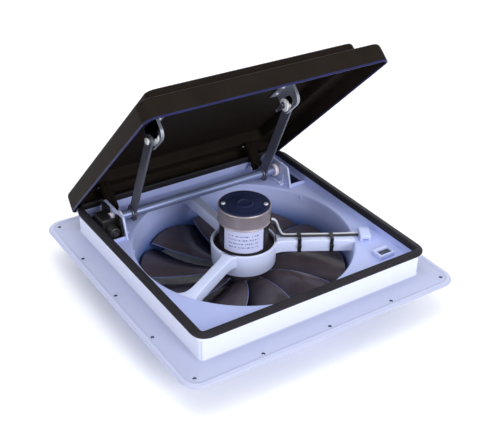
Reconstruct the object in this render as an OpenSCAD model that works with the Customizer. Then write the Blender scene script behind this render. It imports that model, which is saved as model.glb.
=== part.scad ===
// Powered roof vent: screw-down base, rubber rim seal, fan on a three-arm spider, and a lid raised by a
// motor-driven lift shaft. Millimetres, +Z up. The origin is the centre of the flange's underside.
// X runs along the front edge, and Y from the front edge to the hinge. The lid is drawn open.

/* [Show] */
// Which sub-part to draw

/* [Base] */
// Width of the square screw flange
flange_w = 419; // [400:1:440]
// Thickness of the screw flange
flange_t = 3; // [2:0.5:5]
// Corner radius of the screw flange
flange_r = 24; // [10:1:40]
// Width of the thinner rolled strip round the flange
flange_roll = 7.5; // [4:0.5:12]
// Distance of the screw holes from the centre lines, along the sides
screw_side = 197.5; // [190:0.5:202]
// Distance of the corner screw holes from the centre lines
screw_corner = 192; // [185:0.5:196]
// Spacing of the screw holes along each side
screw_pitch = 100; // [80:1:120]
// Radius of the screw holes
screw_r = 2.4; // [1.5:0.1:3.5]
// Width of the square curb
curb_w = 342; // [330:1:350]
// Thickness of the curb wall
curb_t = 3.5; // [2:0.1:5]
// Height of the curb's ledge under the seal
curb_h = 38.5; // [30:0.5:60]
// Height of the deck's top face
deck_z = 24; // [15:0.5:30]
// Thickness of the deck
deck_t = 3; // [2:0.5:4]
// Radius of the fan opening at the deck
lip_r = 152.5; // [140:0.5:155]
// Radius of the fan ring
throat_r = 148; // [135:0.5:150]
// Depth of the fan ring below the flange's underside
ring_depth = 55; // [30:1:80]
// Thickness of the fan ring
ring_t = 3; // [2:0.5:4]

/* [Seal] */
// Width of the rubber seal's outer edge
seal_w = 356; // [350:1:360]
// Width inside the rubber seal
seal_in = 333; // [330:1:340]
// Height of the seal above the curb's ledge
seal_h = 4; // [2:0.5:8]

/* [Fan and motor] */
// Number of fan blades
blades = 10; // [4:1:12]
// Radius of the fan at the blade tips
fan_r = 143; // [130:0.5:146]
// Radius of the fan's hub
fan_hub_r = 30; // [20:0.5:40]
// Pitch of the blades from the fan's plane
blade_pitch = 17; // [10:1:40]
// Radius of the motor can
motor_r = 34; // [28:0.5:38]
// Height of the motor's top face
motor_top = 81.4; // [70:0.2:81.6]
// Outer radius of the motor cup
cup_r = 46.3; // [42:0.1:52]
// Inner radius of the motor cup
cup_in = 42.6; // [38:0.1:48]
// Height of the cup's rim and of the spider arms' top faces
cup_top = 23.5; // [18:0.5:26]
// Width of a spider arm
arm_w = 14; // [8:0.5:20]
// Depth of a spider arm
arm_h = 18; // [10:0.5:24]

/* [Lid] */
// How far the lid is open in the drawing
lid_open = 45; // [45:1:45]
// Width of the square lid
lid_w = 355; // [350:1:356]
// Height of the lid's rim when closed
lid_rim_z = 43; // [42.8:0.1:46]
// Height of the lid's skirt
lid_skirt = 27; // [20:0.5:35]
// Rise of the panel above the skirt
lid_rise = 16.5; // [14:0.5:20]
// Step from the lid's edge in to the raised panel
lid_step = 25; // [20:1:45]
// Wall thickness of the lid
lid_t = 2.4; // [2:0.1:3]

/* [Lift] */
// Radius of the lift shaft
shaft_r = 6; // [4:0.5:8]
// Distance of the lift arms from the centre line
lift_x = 110.5; // [100:0.5:115]
// Angle of the lift arms above the deck when open
lift_open = 66.47; // [66.47:0.01:66.47]
// Length of the lift arms between centres
lift_len = 152.7; // [152.7:0.1:152.7]
// Width of the lift arms
lift_w = 16; // [8:0.5:18]
// Thickness of the lift arms
lift_t = 3; // [2:0.5:4]

/* [Wires] */
// Radius of each motor wire
wire_r = 1.7; // [1:0.1:2]

/* [Hidden] */
$fn = 96;
eps = 0.01;

// Fits
fit_fixed = 0.05;
fit_run = 0.06;

// Colours
white = [0.93, 0.93, 0.95];
black = [0.07, 0.07, 0.08];
smoke = [0.12, 0.11, 0.12];
steel = [0.55, 0.56, 0.58];
bright = [0.80, 0.80, 0.82];
dark = [0.24, 0.25, 0.28];

// Base
flange_half = flange_w / 2;
roll_t = flange_t * 0.6;
curb_half = curb_w / 2;
curb_in = curb_half - curb_t;
curb_r = 7;
ledge_t = 3;
ledge_half = curb_half + 3.7;
ledge_rear = curb_half + 1;
notch_z = curb_h - 3.5;
notch_half = seal_in / 2 + 1.6;
throat_z = -18.5;

// Corner wells at the rear, one each side
well_x0 = 139.5;
well_x1 = 164.5;
well_y0 = 86;
well_y1 = 164.5;
well_floor = 6;
well_t = 2;
well_lip_h = 4;

// Lid hinge
hinge_y = 158;
hinge_z = 28;
hinge_pin_r = 2;
barrel_r = 3.6;
hinge_arm_x0 = 116;
hinge_arm_x1 = 132;
hinge_arm_mid = (hinge_arm_x0 + hinge_arm_x1) / 2;
hinge_screw_gap = 4.5;
ear_gap = 0.5;
ear_t = 2.5;
ear_r = 4.5;
ear_len = 16;
hinge_pin_len = 23.2;

// Seal
seal_half = seal_w / 2;
seal_in_half = seal_in / 2;
seal_rear = seal_half - 3;
seal_r = 20;
seal_rear_r = 29;
seal_bulb_half = 174.2;
seal_bulb_rear = 173.5;
seal_bulb_h = 2;
seal_bulb_r = 16;
seal_top = curb_h + seal_h + seal_bulb_h;

// Motor and spider
cup_bottom = -10;
cup_floor = 3;
cup_taper = 1.8;
can_bottom = cup_bottom + cup_floor;
can_collar_r = cup_in - 0.3;
can_collar_z = 20;
band_z = 57;
band_r = motor_r + 1.8;
plate_r = motor_r + 0.6;
plate_t = 2.4;
boss_r = 12;
boss_h = 0.8;
boss_ring = 4;
boss_sink = 0.6;
plate_screw_r = 29;
plate_screw_angles = [150, -37];
wire_angle = -40;
label_angle = -123.6;
label_half = 50;
label_z0 = 22;
label_t = 0.4;
arm_angles = [90, 210, 330];
wire_arm = 330;
mount_screw_r = 20;
mount_screws = 4;
mount_shank_r = 2;
mount_head_r = 3.6;
mount_head_t = 1.6;
mount_depth = 8;
plate_shank_r = 1.5;
plate_head_r = 3;
plate_head_t = 1.3;
plate_screw_depth = 7;
hub_hole_r = 8;
band_lip_t = 2;
band_lip_low = 0.9;
band_lip_high = 0.5;
grommet_w = 10;
grommet_up = 5;
motor_shaft_r = 4;
motor_shaft_z0 = -32;
motor_shaft_z1 = 8;

// Fan
fan_top = -14;
fan_hub_h = 24;
blade_t = 2;
blade_camber_r = 130;
blade_rise = 4;
blade_half_z = 18;
blade_outline = [[20, -6], [70, -22], [115, -38], [150, -47],
  [150, 46], [115, 37], [70, 21], [20, 6]];
blade_mid_z = -27;
nut_across = 13;
nut_h = 6;

// Lid, in its closed place
lid_half = lid_w / 2;
lid_r = 15;
lid_rear_t = 2;
skirt_top = lid_rim_z + lid_skirt;
panel_top = skirt_top + lid_rise;
panel_half = lid_half - lid_step;
panel_in = panel_half - lid_t;
shoulder_in = skirt_top - lid_t;
panel_under = panel_top - lid_t;
panel_r = 12;

// Hinge arms of the lid, from the hinge axis
neck_y0 = -11.5;
neck_y1 = -6.5;
neck_top = shoulder_in - hinge_z;
neck_foot_y1 = 8;
foot_t = 2;

// Lift
shaft_y = 118;
shaft_z = 40;
shaft_wall = 1.5;
shaft_left = -157;
shaft_right = 150;
plate_x0 = 136;
plate_thick = 3;
plate_outline = [[81, deck_z], [90.6, 55], [148, 55], [160, 43], [160, deck_z]];
plate_foot_w = 8;
plate_foot_t = 2.5;
plate_foot_y0 = 96;
plate_foot_len = 46;
shaft_plate_screw_x = 132;
shaft_plate_screw_y = [103, 135];
collar_r = 9.5;
collar_len = 6;
collar_places = [-146, -134.8, 128.8, 140];
pin_y = shaft_y - lift_len * cos(lift_open);
pin_z = shaft_z + lift_len * sin(lift_open);
pin_r = 3;
pin_head_r = 9.5;
pin_head_t = 2.3;
pin_disc_r = 4.5;
pin_end_r = 5;
pin_end_t = 1.8;
clip_t = 1.2;
clip_r = 4.6;
clip_len = 17;
clip_tip_r = 1.6;
clip_root = 4;
bush_r = 8;
slot_r = bush_r + 0.5;

// Lid brackets, in the lid's closed place
bracket_x = 103;
bracket_t = 2.5;
bracket_y0 = -56;
bracket_y1 = -10;
bracket_z0 = 53;
bracket_r = 14;
bracket_lip = 2;
bracket_lip_t = 1.6;
bracket_foot = 13;
slot_y0 = -32.9;
slot_y1 = -20.8;
slot_z = 64.03;
bracket_screw_y = [-43, -22];
pin_x0 = bracket_x - 0.5 - pin_head_t;
pin_x1 = lift_x + lift_t / 2;
small_head_r = 2.8;
small_head_t = 1.4;
small_shank_r = 1.4;

// Wires, as distances along the arm, across it and up
wire_z = cup_top + wire_r + 0.05;
wire_lift = wire_z + 0.6;
tie_wire = 7;
white_route = [[34, -5, 58.5], [38, -5, 58.5], [42, -4, 56], [45, -2, 50], [47, 0, 43], [50, 3, 35],
  [53, 6, 28], [58, 7, wire_z + 0.5], [66, 7, wire_z], [75, 7, wire_z], [90, 7, wire_z],
  [105, 7, wire_z], [120, 7, wire_z], [135, 7, wire_z + 0.2], [148, 7, wire_lift],
  [161, 7, wire_lift]];
black_route = [[34, -8, 54], [37, -8, 54], [41, -7, 51], [44, -5, 44], [47, -2, 36], [50, 1, 30],
  [54, 3, 26], [60, 3.4, wire_z + 0.2], [66, 3.4, wire_z], [75, 3.4, wire_z], [90, 3.4, wire_z],
  [105, 3.4, wire_z], [120, 3.4, wire_z], [135, 3.4, wire_z + 0.2], [148, 3.4, wire_lift],
  [161, 3.4, wire_lift]];
wire_sides = 8;
wire_steps = 3;
tie_places = [77, 122];
tie_w = 5;
tie_gap = 0.1;
tie_head = [5.2, 3.2, 5];
tie_head_drop = 9;
tie_t = 1.1;
gland_at = 168;
gland_size = [16, 24, 9];
gland_slot = [8, 4, 2.4];
gland_slot_z = 1.5;

// Rain sensor
sensor_at = [138.5, -132.5];
sensor_size = [25, 19, 7];
sensor_wall = 2.2;
sensor_sink = 2;
sensor_floor = 2;

// Gearbox in the left well
box_x0 = -163.5;
box_x1 = -149.5;
box_y0 = 104;
box_y1 = 133;
box_top = 50;
box_foot = 7;
box_foot_t = 3;
box_cheek_z0 = 8;
box_cheek_z1 = 48;
lift_motor_r = 8;
lift_motor_len = 15;
lift_motor_nub_r = 4;
lift_motor_nub = 2;
lift_motor_x = -151.3;
cover_x0 = -142.9;
cover_x1 = -139.9;
cover_outline = [[87, 8], [87, 36], [92.5, 53], [147, 53], [150, 50], [150, 8]];
collar_gap = 1.2;
gearbox_screw_y = [box_y0 - box_foot / 2 + 0.2, box_y1 + box_foot / 2 - 0.2];
lift_motor_z = 34;

function unit(v) = v / norm(v);

function catmull(a, b, c, d, t) =
  0.5 * (2 * b + (c - a) * t + (2 * a - 5 * b + 4 * c - d) * t * t
    + (3 * b - a - 3 * c + d) * t * t * t);

function smooth_route(p, steps) = [
  for (i = [0 : len(p) - 2])
    for (k = [0 : steps - 1])
      catmull(p[max(i - 1, 0)], p[i], p[i + 1], p[min(i + 2, len(p) - 1)], k / steps),
  p[len(p) - 1]
];

function tangent(p, i) = unit(p[min(i + 1, len(p) - 1)] - p[max(i - 1, 0)]);

function ring_at(p, i, r, sides) =
  let (
    t = tangent(p, i),
    side = unit([0, 1, 0] - t[1] * t),
    up = cross(t, side)
  )
  [for (k = [0 : sides - 1]) p[i] + r * (cos(360 * k / sides) * side + sin(360 * k / sides) * up)];

module rounded_rect(x0, x1, y0, y1, r) {
  translate([x0 + r, y0])
    square([x1 - x0 - 2 * r, y1 - y0]);
  translate([x0, y0 + r])
    square([x1 - x0, y1 - y0 - 2 * r]);
  for (x = [x0 + r, x1 - r], y = [y0 + r, y1 - r])
    translate([x, y])
      circle(r);
}

module rounded_square(half, r) {
  rounded_rect(-half, half, -half, half, r);
}

module rounded_frame(outer, outer_r, inner, inner_r) {
  difference() {
    rounded_square(outer, outer_r);
    rounded_square(inner, inner_r);
  }
}

// Extrudes a profile drawn in Y and Z along X
module along_x(x0, length) {
  translate([x0, 0, 0])
    rotate([90, 0, 90])
      linear_extrude(length)
        children();
}

module lid_pose() {
  translate([0, hinge_y, hinge_z])
    rotate([-lid_open, 0, 0])
      translate([0, -hinge_y, -hinge_z])
        children();
}

module arm_pose() {
  rotate([0, 0, wire_arm])
    children();
}

module screw_positions() {
  for (x = [-screw_corner, screw_corner], y = [-screw_corner, screw_corner])
    translate([x, y, 0])
      children();
  for (a = [0 : 90 : 270], s = [-screw_pitch, 0, screw_pitch])
    rotate([0, 0, a])
      translate([screw_side, s, 0])
        children();
}

module well_box(x_sign, grow, z0, height) {
  x_mid = (well_x0 + well_x1) / 2 * x_sign;
  y_mid = (well_y0 + well_y1) / 2;
  w = well_x1 - well_x0 + 2 * grow;
  d = well_y1 - well_y0 + 2 * grow;
  translate([x_mid - w / 2, y_mid - d / 2, z0])
    cube([w, d, height]);
}

module hinge_ear(x0) {
  along_x(x0, ear_t) {
    translate([hinge_y - ear_len / 2, deck_z - eps])
      square([ear_len, hinge_z - deck_z + 1]);
    translate([hinge_y, hinge_z])
      circle(ear_r);
  }
}

module roof_base() {
  color(white)
    difference() {
      union() {
        linear_extrude(roll_t)
          rounded_frame(flange_half, flange_r, curb_in, curb_r - curb_t);
        linear_extrude(flange_t)
          rounded_frame(flange_half - flange_roll, flange_r - flange_roll, curb_in, curb_r - curb_t);
        linear_extrude(curb_h)
          rounded_frame(curb_half, curb_r, curb_in, curb_r - curb_t);
        translate([0, 0, curb_h - ledge_t])
          linear_extrude(ledge_t)
            difference() {
              rounded_rect(-ledge_half, ledge_half, -ledge_half, ledge_rear, curb_r + 2);
              rounded_square(curb_in, curb_r - curb_t);
            }
        translate([0, 0, deck_z - deck_t])
          linear_extrude(deck_t)
            difference() {
              rounded_square(curb_half - 1, curb_r - 1);
              circle(lip_r + ring_t / 2);
            }
        rotate_extrude()
          polygon([
            [lip_r, deck_z],
            [throat_r, throat_z],
            [throat_r, -ring_depth],
            [throat_r + ring_t, -ring_depth],
            [throat_r + ring_t, throat_z],
            [lip_r + ring_t, deck_z - deck_t],
            [lip_r + ring_t, deck_z]
          ]);
        for (s = [-1, 1]) {
          well_box(s, well_t, well_floor - well_t, deck_z - well_floor + well_t);
          translate([s > 0 ? well_x0 : -well_x1 - well_t, well_y0 - well_t, deck_z - eps])
            cube([well_x1 - well_x0 + well_t, well_t, well_lip_h]);
          for (x0 = [hinge_arm_x0 - ear_gap - ear_t, hinge_arm_x1 + ear_gap])
            hinge_ear(s > 0 ? x0 : -x0 - ear_t);
        }
      }
      screw_positions()
        translate([0, 0, -1])
          cylinder(h = flange_t + 2, r = screw_r);
      translate([0, 0, notch_z])
        linear_extrude(curb_h)
          rounded_square(notch_half, curb_r - 2);
      for (s = [-1, 1])
        well_box(s, 0, well_floor, deck_z);
      for (s = [-1, 1], y = shaft_plate_screw_y)
        translate([s * shaft_plate_screw_x, y, deck_z - deck_t - 1])
          cylinder(h = deck_t + 2, r = small_shank_r + fit_fixed);
      translate([0, hinge_y, hinge_z])
        rotate([0, 90, 0])
          cylinder(h = 2 * plate_x0, r = hinge_pin_r + fit_fixed, center = true);
      for (y = gearbox_screw_y)
        translate([(box_x0 + box_x1) / 2, y, well_floor - well_t - 1])
          cylinder(h = well_t + 2, r = small_shank_r + fit_fixed);
    }
}

module rim_seal() {
  color(black)
    difference() {
      union() {
        translate([0, 0, curb_h])
          linear_extrude(seal_h)
            intersection() {
              rounded_rect(-seal_half, seal_half, -seal_half, seal_rear, seal_r);
              rounded_rect(-seal_half, seal_half, -seal_w, seal_rear, seal_rear_r);
            }
        translate([0, 0, curb_h])
          linear_extrude(seal_h + seal_bulb_h)
            rounded_rect(
              -seal_bulb_half, seal_bulb_half, -seal_bulb_half, seal_bulb_rear, seal_bulb_r
            );
        translate([0, 0, notch_z])
          linear_extrude(curb_h - notch_z + 1)
            rounded_square(notch_half - fit_fixed, curb_r - 2);
      }
      translate([0, 0, notch_z - 1])
        linear_extrude(seal_top)
          rounded_square(seal_in_half, curb_r - 3.5);
    }
}

module spider_arm(angle) {
  rotate([0, 0, angle])
    translate([cup_in + 1, -arm_w / 2, cup_top - arm_h])
      cube([throat_r + ring_t - cup_in, arm_w, arm_h]);
}

module motor_spider() {
  color(white)
    difference() {
      union() {
        translate([0, 0, cup_bottom])
          cylinder(h = cup_top - cup_bottom, r1 = cup_r - cup_taper, r2 = cup_r);
        intersection() {
          union() {
            for (a = arm_angles)
              spider_arm(a);
          }
          rotate_extrude()
            polygon([
              [0, deck_z],
              [lip_r + 1, deck_z],
              [throat_r + 1, throat_z],
              [0, throat_z]
            ]);
        }
      }
      translate([0, 0, can_bottom])
        cylinder(h = cup_top - can_bottom + 1, r = cup_in);
      translate([0, 0, cup_bottom - 1])
        cylinder(h = cup_floor + 2, r = hub_hole_r);
      for (k = [0 : mount_screws - 1])
        rotate([0, 0, 45 + 90 * k])
          translate([mount_screw_r, 0, cup_bottom - 1])
            cylinder(h = cup_floor + 2, r = mount_shank_r + fit_fixed);
    }
}

module motor_can() {
  color(black)
    difference() {
      union() {
        translate([0, 0, can_bottom])
          cylinder(h = band_z - can_bottom, r = motor_r);
        translate([0, 0, can_bottom])
          cylinder(h = can_collar_z - can_bottom, r = can_collar_r);
      }
      translate([0, 0, can_bottom - 1])
        cylinder(h = motor_shaft_z1 - can_bottom + 2, r = motor_shaft_r + fit_run);
      for (k = [0 : mount_screws - 1])
        rotate([0, 0, 45 + 90 * k])
          translate([mount_screw_r, 0, can_bottom - 1])
            cylinder(h = mount_depth, r = mount_shank_r + fit_fixed);
    }
}

module grommet_block(radial0, radial1, width, z0, z1) {
  rotate([0, 0, wire_angle])
    translate([radial0, -width / 2, z0])
      cube([radial1 - radial0, width, z1 - z0]);
}

module motor_end_bell() {
  color(bright)
    difference() {
      union() {
        translate([0, 0, band_z])
          cylinder(h = motor_top - band_z - 0.9, r = band_r);
        translate([0, 0, band_z])
          cylinder(h = band_lip_t, r = band_r + band_lip_low);
        translate([0, 0, motor_top - plate_t - 1])
          cylinder(h = band_lip_t, r = band_r + band_lip_high);
      }
      translate([0, 0, motor_top - plate_t])
        cylinder(h = plate_t + 1, r = plate_r + fit_fixed);
      grommet_block(
        motor_r - 0.4, motor_r + 8, grommet_w + 0.2, band_z - 1, band_z + grommet_up + 0.2
      );
      for (a = plate_screw_angles)
        rotate([0, 0, a])
          translate([plate_screw_r, 0, motor_top - plate_t - plate_screw_depth - 1])
            cylinder(h = plate_screw_depth + 2, r = plate_shank_r + fit_fixed);
    }
}

module motor_end_plate() {
  color(dark)
    difference() {
      union() {
        translate([0, 0, motor_top - plate_t])
          cylinder(h = plate_t, r = plate_r);
        translate([0, 0, motor_top - 1])
          cylinder(h = 1 + boss_h, r = boss_r);
      }
      translate([0, 0, motor_top + boss_h - boss_sink])
        cylinder(h = 1, r = boss_r - boss_ring);
      for (a = plate_screw_angles)
        rotate([0, 0, a])
          translate([plate_screw_r, 0, motor_top - plate_t - 1])
            cylinder(h = plate_t + 2, r = plate_shank_r + fit_fixed);
    }
}

module motor_plate_screws() {
  color(bright)
    for (a = plate_screw_angles)
      rotate([0, 0, a])
        translate([plate_screw_r, 0, 0])
          union() {
            translate([0, 0, motor_top])
              cylinder(h = plate_head_t, r = plate_head_r);
            translate([0, 0, motor_top - plate_t - plate_screw_depth])
              cylinder(h = plate_t + plate_screw_depth + 0.5, r = plate_shank_r);
          }
}

module motor_mount_screws() {
  color(steel)
    for (k = [0 : mount_screws - 1])
      rotate([0, 0, 45 + 90 * k])
        translate([mount_screw_r, 0, 0])
          union() {
            translate([0, 0, cup_bottom - mount_head_t])
              cylinder(h = mount_head_t, r = mount_head_r);
            translate([0, 0, cup_bottom - 1])
              cylinder(h = mount_depth + 1, r = mount_shank_r);
          }
}

module motor_label() {
  color(white)
    intersection() {
      difference() {
        translate([0, 0, label_z0])
          cylinder(h = band_z - label_z0 - 0.3, r = motor_r + fit_fixed + label_t);
        translate([0, 0, label_z0 - 1])
          cylinder(h = band_z, r = motor_r + fit_fixed);
      }
      rotate([0, 0, label_angle])
        linear_extrude(band_z)
          polygon([
            [0, 0],
            [band_z * cos(label_half), -band_z * sin(label_half)],
            [band_z, 0],
            [band_z * cos(label_half), band_z * sin(label_half)]
          ]);
    }
}

module motor_grommet() {
  color(dark)
    difference() {
      grommet_block(motor_r - 6, motor_r + 3.5, grommet_w, band_z - 6, band_z + grommet_up);
      translate([0, 0, band_z - 10])
        cylinder(h = 20, r = motor_r + fit_fixed);
    }
}

module wire(route) {
  p = smooth_route(route, wire_steps);
  rings = len(p);
  points = [for (i = [0 : rings - 1]) each ring_at(p, i, wire_r, wire_sides)];
  sides = [
    for (i = [0 : rings - 2], k = [0 : wire_sides - 1])
      let (m = (k + 1) % wire_sides)
      [
        i * wire_sides + k,
        (i + 1) * wire_sides + k,
        (i + 1) * wire_sides + m,
        i * wire_sides + m
      ]
  ];
  start_cap = [for (k = [0 : wire_sides - 1]) k];
  end_cap = [for (k = [wire_sides - 1 : -1 : 0]) (rings - 1) * wire_sides + k];
  arm_pose()
    polyhedron(points = points, faces = concat(sides, [start_cap], [end_cap]), convexity = 6);
}

module wire_white() {
  color(white)
    wire(white_route);
}

module wire_black() {
  color(black)
    wire(black_route);
}

module cable_ties() {
  y0 = -arm_w / 2 - tie_gap;
  y1 = tie_wire + wire_r + tie_gap;
  z0 = cup_top - arm_h - tie_gap;
  z1 = wire_z + wire_r + tie_gap;
  color(black)
    arm_pose()
      for (x = tie_places)
        union() {
          difference() {
            translate([x - tie_w / 2, y0 - tie_t, z0 - tie_t])
              cube([tie_w, y1 - y0 + 2 * tie_t, z1 - z0 + 2 * tie_t]);
            translate([x - tie_w, y0, z0])
              cube([2 * tie_w, y1 - y0, z1 - z0]);
          }
          translate([x - tie_head[0] / 2, y0 - tie_t - tie_head[1] + 0.2, cup_top - tie_head_drop])
            cube(tie_head);
        }
}

module wire_gland() {
  color(white)
    arm_pose()
      difference() {
        translate([gland_at - gland_size[0] / 2, -gland_size[1] / 2, deck_z])
          cube(gland_size);
        translate([gland_at - gland_slot[0] / 2, -gland_size[1] / 2 - 1, deck_z + gland_slot_z])
          cube(gland_slot);
      }
}

module sensor_housing() {
  color(white)
    translate([sensor_at[0], sensor_at[1], deck_z])
      difference() {
        translate([-sensor_size[0] / 2, -sensor_size[1] / 2, 0])
          cube(sensor_size);
        translate([-sensor_size[0] / 2 + sensor_wall, -sensor_size[1] / 2 + sensor_wall, sensor_floor])
          cube([sensor_size[0] - 2 * sensor_wall, sensor_size[1] - 2 * sensor_wall, sensor_size[2]]);
      }
}

module sensor_plate() {
  color(dark)
    translate([sensor_at[0], sensor_at[1], deck_z + sensor_floor])
      translate([-sensor_size[0] / 2 + sensor_wall, -sensor_size[1] / 2 + sensor_wall, 0])
        cube([
          sensor_size[0] - 2 * sensor_wall,
          sensor_size[1] - 2 * sensor_wall,
          sensor_size[2] - sensor_floor - sensor_sink
        ]);
}

module shaft_plate(s) {
  x0 = s > 0 ? plate_x0 : -plate_x0 - plate_thick;
  foot_x0 = s > 0 ? plate_x0 - plate_foot_w : -plate_x0 - eps;
  difference() {
    union() {
      along_x(x0, plate_thick)
        polygon(plate_outline);
      translate([foot_x0, plate_foot_y0, deck_z])
        cube([plate_foot_w + eps, plate_foot_len, plate_foot_t]);
    }
    translate([x0 - 1, shaft_y, shaft_z])
      rotate([0, 90, 0])
        cylinder(h = plate_thick + 2, r = shaft_r + fit_run);
    for (y = shaft_plate_screw_y)
      translate([s * shaft_plate_screw_x, y, deck_z - 1])
        cylinder(h = 5, r = small_shank_r + fit_fixed);
  }
}

module shaft_plate_left() {
  color(white)
    shaft_plate(-1);
}

module shaft_plate_right() {
  color(white)
    shaft_plate(1);
}

module shaft_plate_screws() {
  color(bright)
    for (s = [-1, 1], y = shaft_plate_screw_y)
      translate([s * shaft_plate_screw_x, y, 0])
        union() {
          translate([0, 0, deck_z + plate_foot_t])
            cylinder(h = small_head_t, r = small_head_r);
          translate([0, 0, deck_z - deck_t - 2])
            cylinder(h = deck_t + 5, r = small_shank_r);
        }
}

module hinge_pins() {
  color(bright)
    for (s = [-1, 1])
      translate([s * hinge_arm_mid, hinge_y, hinge_z])
        rotate([0, 90, 0])
          cylinder(h = hinge_pin_len, r = hinge_pin_r, center = true);
}

module lift_gearbox() {
  color(black)
    difference() {
      union() {
        along_x(box_x0, box_x1 - box_x0)
          rounded_rect(box_y0, box_y1, well_floor, box_top, 4);
        translate([box_x0, box_y0 - box_foot, well_floor])
          cube([box_x1 - box_x0, box_y1 - box_y0 + 2 * box_foot, box_foot_t]);
        difference() {
          union() {
            along_x(cover_x0, cover_x1 - cover_x0)
              polygon(cover_outline);
            translate([box_x1 - 1, box_y0 + 1, box_cheek_z0])
              cube([cover_x0 - box_x1 + 2, box_y1 - box_y0 - 2, box_cheek_z1 - box_cheek_z0]);
          }
          translate([box_x1, shaft_y, shaft_z])
            rotate([0, 90, 0])
              cylinder(h = 20, r = collar_r + collar_gap);
          translate([box_x1, shaft_y - collar_r - collar_gap, shaft_z])
            cube([20, 2 * (collar_r + collar_gap), box_top]);
        }
      }
      translate([shaft_left - 1, shaft_y, shaft_z])
        rotate([0, 90, 0])
          cylinder(h = 20, r = shaft_r + fit_run);
      for (y = gearbox_screw_y)
        translate([(box_x0 + box_x1) / 2, y, well_floor - 1])
          cylinder(h = 6, r = small_shank_r + fit_fixed);
    }
}

module lift_motor() {
  color(steel)
    translate([lift_motor_x, box_y0, lift_motor_z])
      rotate([90, 0, 0])
        union() {
          cylinder(h = lift_motor_len, r = lift_motor_r);
          cylinder(h = lift_motor_len + lift_motor_nub, r = lift_motor_nub_r);
        }
}

module gearbox_screws() {
  color(bright)
    for (y = gearbox_screw_y)
      translate([(box_x0 + box_x1) / 2, y, 0])
        union() {
          translate([0, 0, well_floor + box_foot_t])
            cylinder(h = small_head_t, r = small_head_r);
          translate([0, 0, well_floor - well_t - 1])
            cylinder(h = 6.5, r = small_shank_r);
        }
}

module lid_screw_places() {
  for (s = [-1, 1], x = [-hinge_screw_gap, hinge_screw_gap])
    translate([s * hinge_arm_mid + x, hinge_y + 1, shoulder_in])
      children();
}

module bracket_screw_places() {
  for (s = [-1, 1], y = bracket_screw_y)
    translate([s * (bracket_x - bracket_foot / 2), y, panel_under])
      children();
}

module lid_shell() {
  color(smoke)
    lid_pose()
      difference() {
        union() {
          translate([0, 0, lid_rim_z])
            linear_extrude(lid_skirt)
              rounded_square(lid_half, lid_r);
          translate([0, 0, skirt_top - 1])
            linear_extrude(lid_rise + 1)
              rounded_square(panel_half, panel_r);
        }
        translate([0, 0, lid_rim_z - 1])
          linear_extrude(shoulder_in - lid_rim_z + 1)
            rounded_rect(-lid_half + lid_t, lid_half - lid_t, -lid_half + lid_t, lid_half - lid_rear_t,
              lid_r - lid_t);
        translate([0, 0, lid_rim_z])
          linear_extrude(panel_under - lid_rim_z)
            rounded_square(panel_in, panel_r - lid_t);
        lid_screw_places()
          cylinder(h = 1.6, r = small_shank_r + fit_fixed);
        bracket_screw_places()
          cylinder(h = 1.6, r = small_shank_r + fit_fixed);
      }
}

module hinge_arm(x0) {
  lid_pose()
    difference() {
      along_x(x0, hinge_arm_x1 - hinge_arm_x0)
        translate([hinge_y, hinge_z]) {
          circle(barrel_r);
          polygon([
            [0, -barrel_r + 0.1],
            [neck_y0, -1],
            [neck_y0, neck_top],
            [neck_foot_y1, neck_top],
            [neck_foot_y1, neck_top - foot_t],
            [neck_y1, neck_top - foot_t],
            [neck_y1, barrel_r + 2],
            [0, barrel_r - 0.1]
          ]);
        }
      translate([x0 - 1, hinge_y, hinge_z])
        rotate([0, 90, 0])
          cylinder(h = hinge_arm_x1 - hinge_arm_x0 + 2, r = hinge_pin_r + fit_run);
      lid_screw_places()
        translate([0, 0, -foot_t - 1])
          cylinder(h = foot_t + 2, r = small_shank_r + fit_fixed);
    }
}

module hinge_arm_left() {
  color(smoke)
    hinge_arm(-hinge_arm_x1);
}

module hinge_arm_right() {
  color(smoke)
    hinge_arm(hinge_arm_x0);
}

module lid_screw() {
  union() {
    translate([0, 0, -foot_t - small_head_t])
      cylinder(h = small_head_t, r = small_head_r);
    translate([0, 0, -foot_t - 0.5])
      cylinder(h = foot_t + 2, r = small_shank_r);
  }
}

module hinge_arm_screws() {
  color(bright)
    lid_pose()
      lid_screw_places()
        lid_screw();
}

module bracket_outline(inset) {
  translate([bracket_y0 + bracket_r, bracket_z0 + inset])
    square([bracket_y1 - inset - bracket_y0 - bracket_r, panel_under - bracket_z0 - inset]);
  translate([bracket_y0 + inset, bracket_z0 + bracket_r])
    square([bracket_r, panel_under - bracket_z0 - bracket_r]);
  translate([bracket_y0 + bracket_r, bracket_z0 + bracket_r])
    circle(bracket_r - inset);
}

module lid_bracket(s) {
  x0 = s > 0 ? bracket_x : -bracket_x - bracket_t;
  lip_x0 = s > 0 ? bracket_x : -bracket_x - bracket_t - bracket_lip;
  foot_x0 = s > 0 ? bracket_x - bracket_foot : -bracket_x - eps;
  lid_pose()
    difference() {
      union() {
        along_x(x0, bracket_t)
          bracket_outline(0);
        along_x(lip_x0, bracket_t + bracket_lip)
          difference() {
            bracket_outline(0);
            bracket_outline(bracket_lip_t);
          }
        translate([foot_x0, bracket_y0 + 4, panel_under - foot_t])
          cube([bracket_foot + eps, bracket_y1 - bracket_y0 - 4, foot_t]);
      }
      along_x(lip_x0 - 1, bracket_t + bracket_lip + 2) {
        for (y = [slot_y0, slot_y1])
          translate([y, slot_z])
            circle(slot_r);
        translate([slot_y0, slot_z - slot_r])
          square([slot_y1 - slot_y0, 2 * slot_r]);
      }
      bracket_screw_places()
        translate([0, 0, -foot_t - 1])
          cylinder(h = foot_t + 2, r = small_shank_r + fit_fixed);
    }
}

module lid_bracket_left() {
  color(steel)
    lid_bracket(-1);
}

module lid_bracket_right() {
  color(steel)
    lid_bracket(1);
}

module bracket_screws() {
  color(bright)
    lid_pose()
      bracket_screw_places()
        lid_screw();
}

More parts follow.
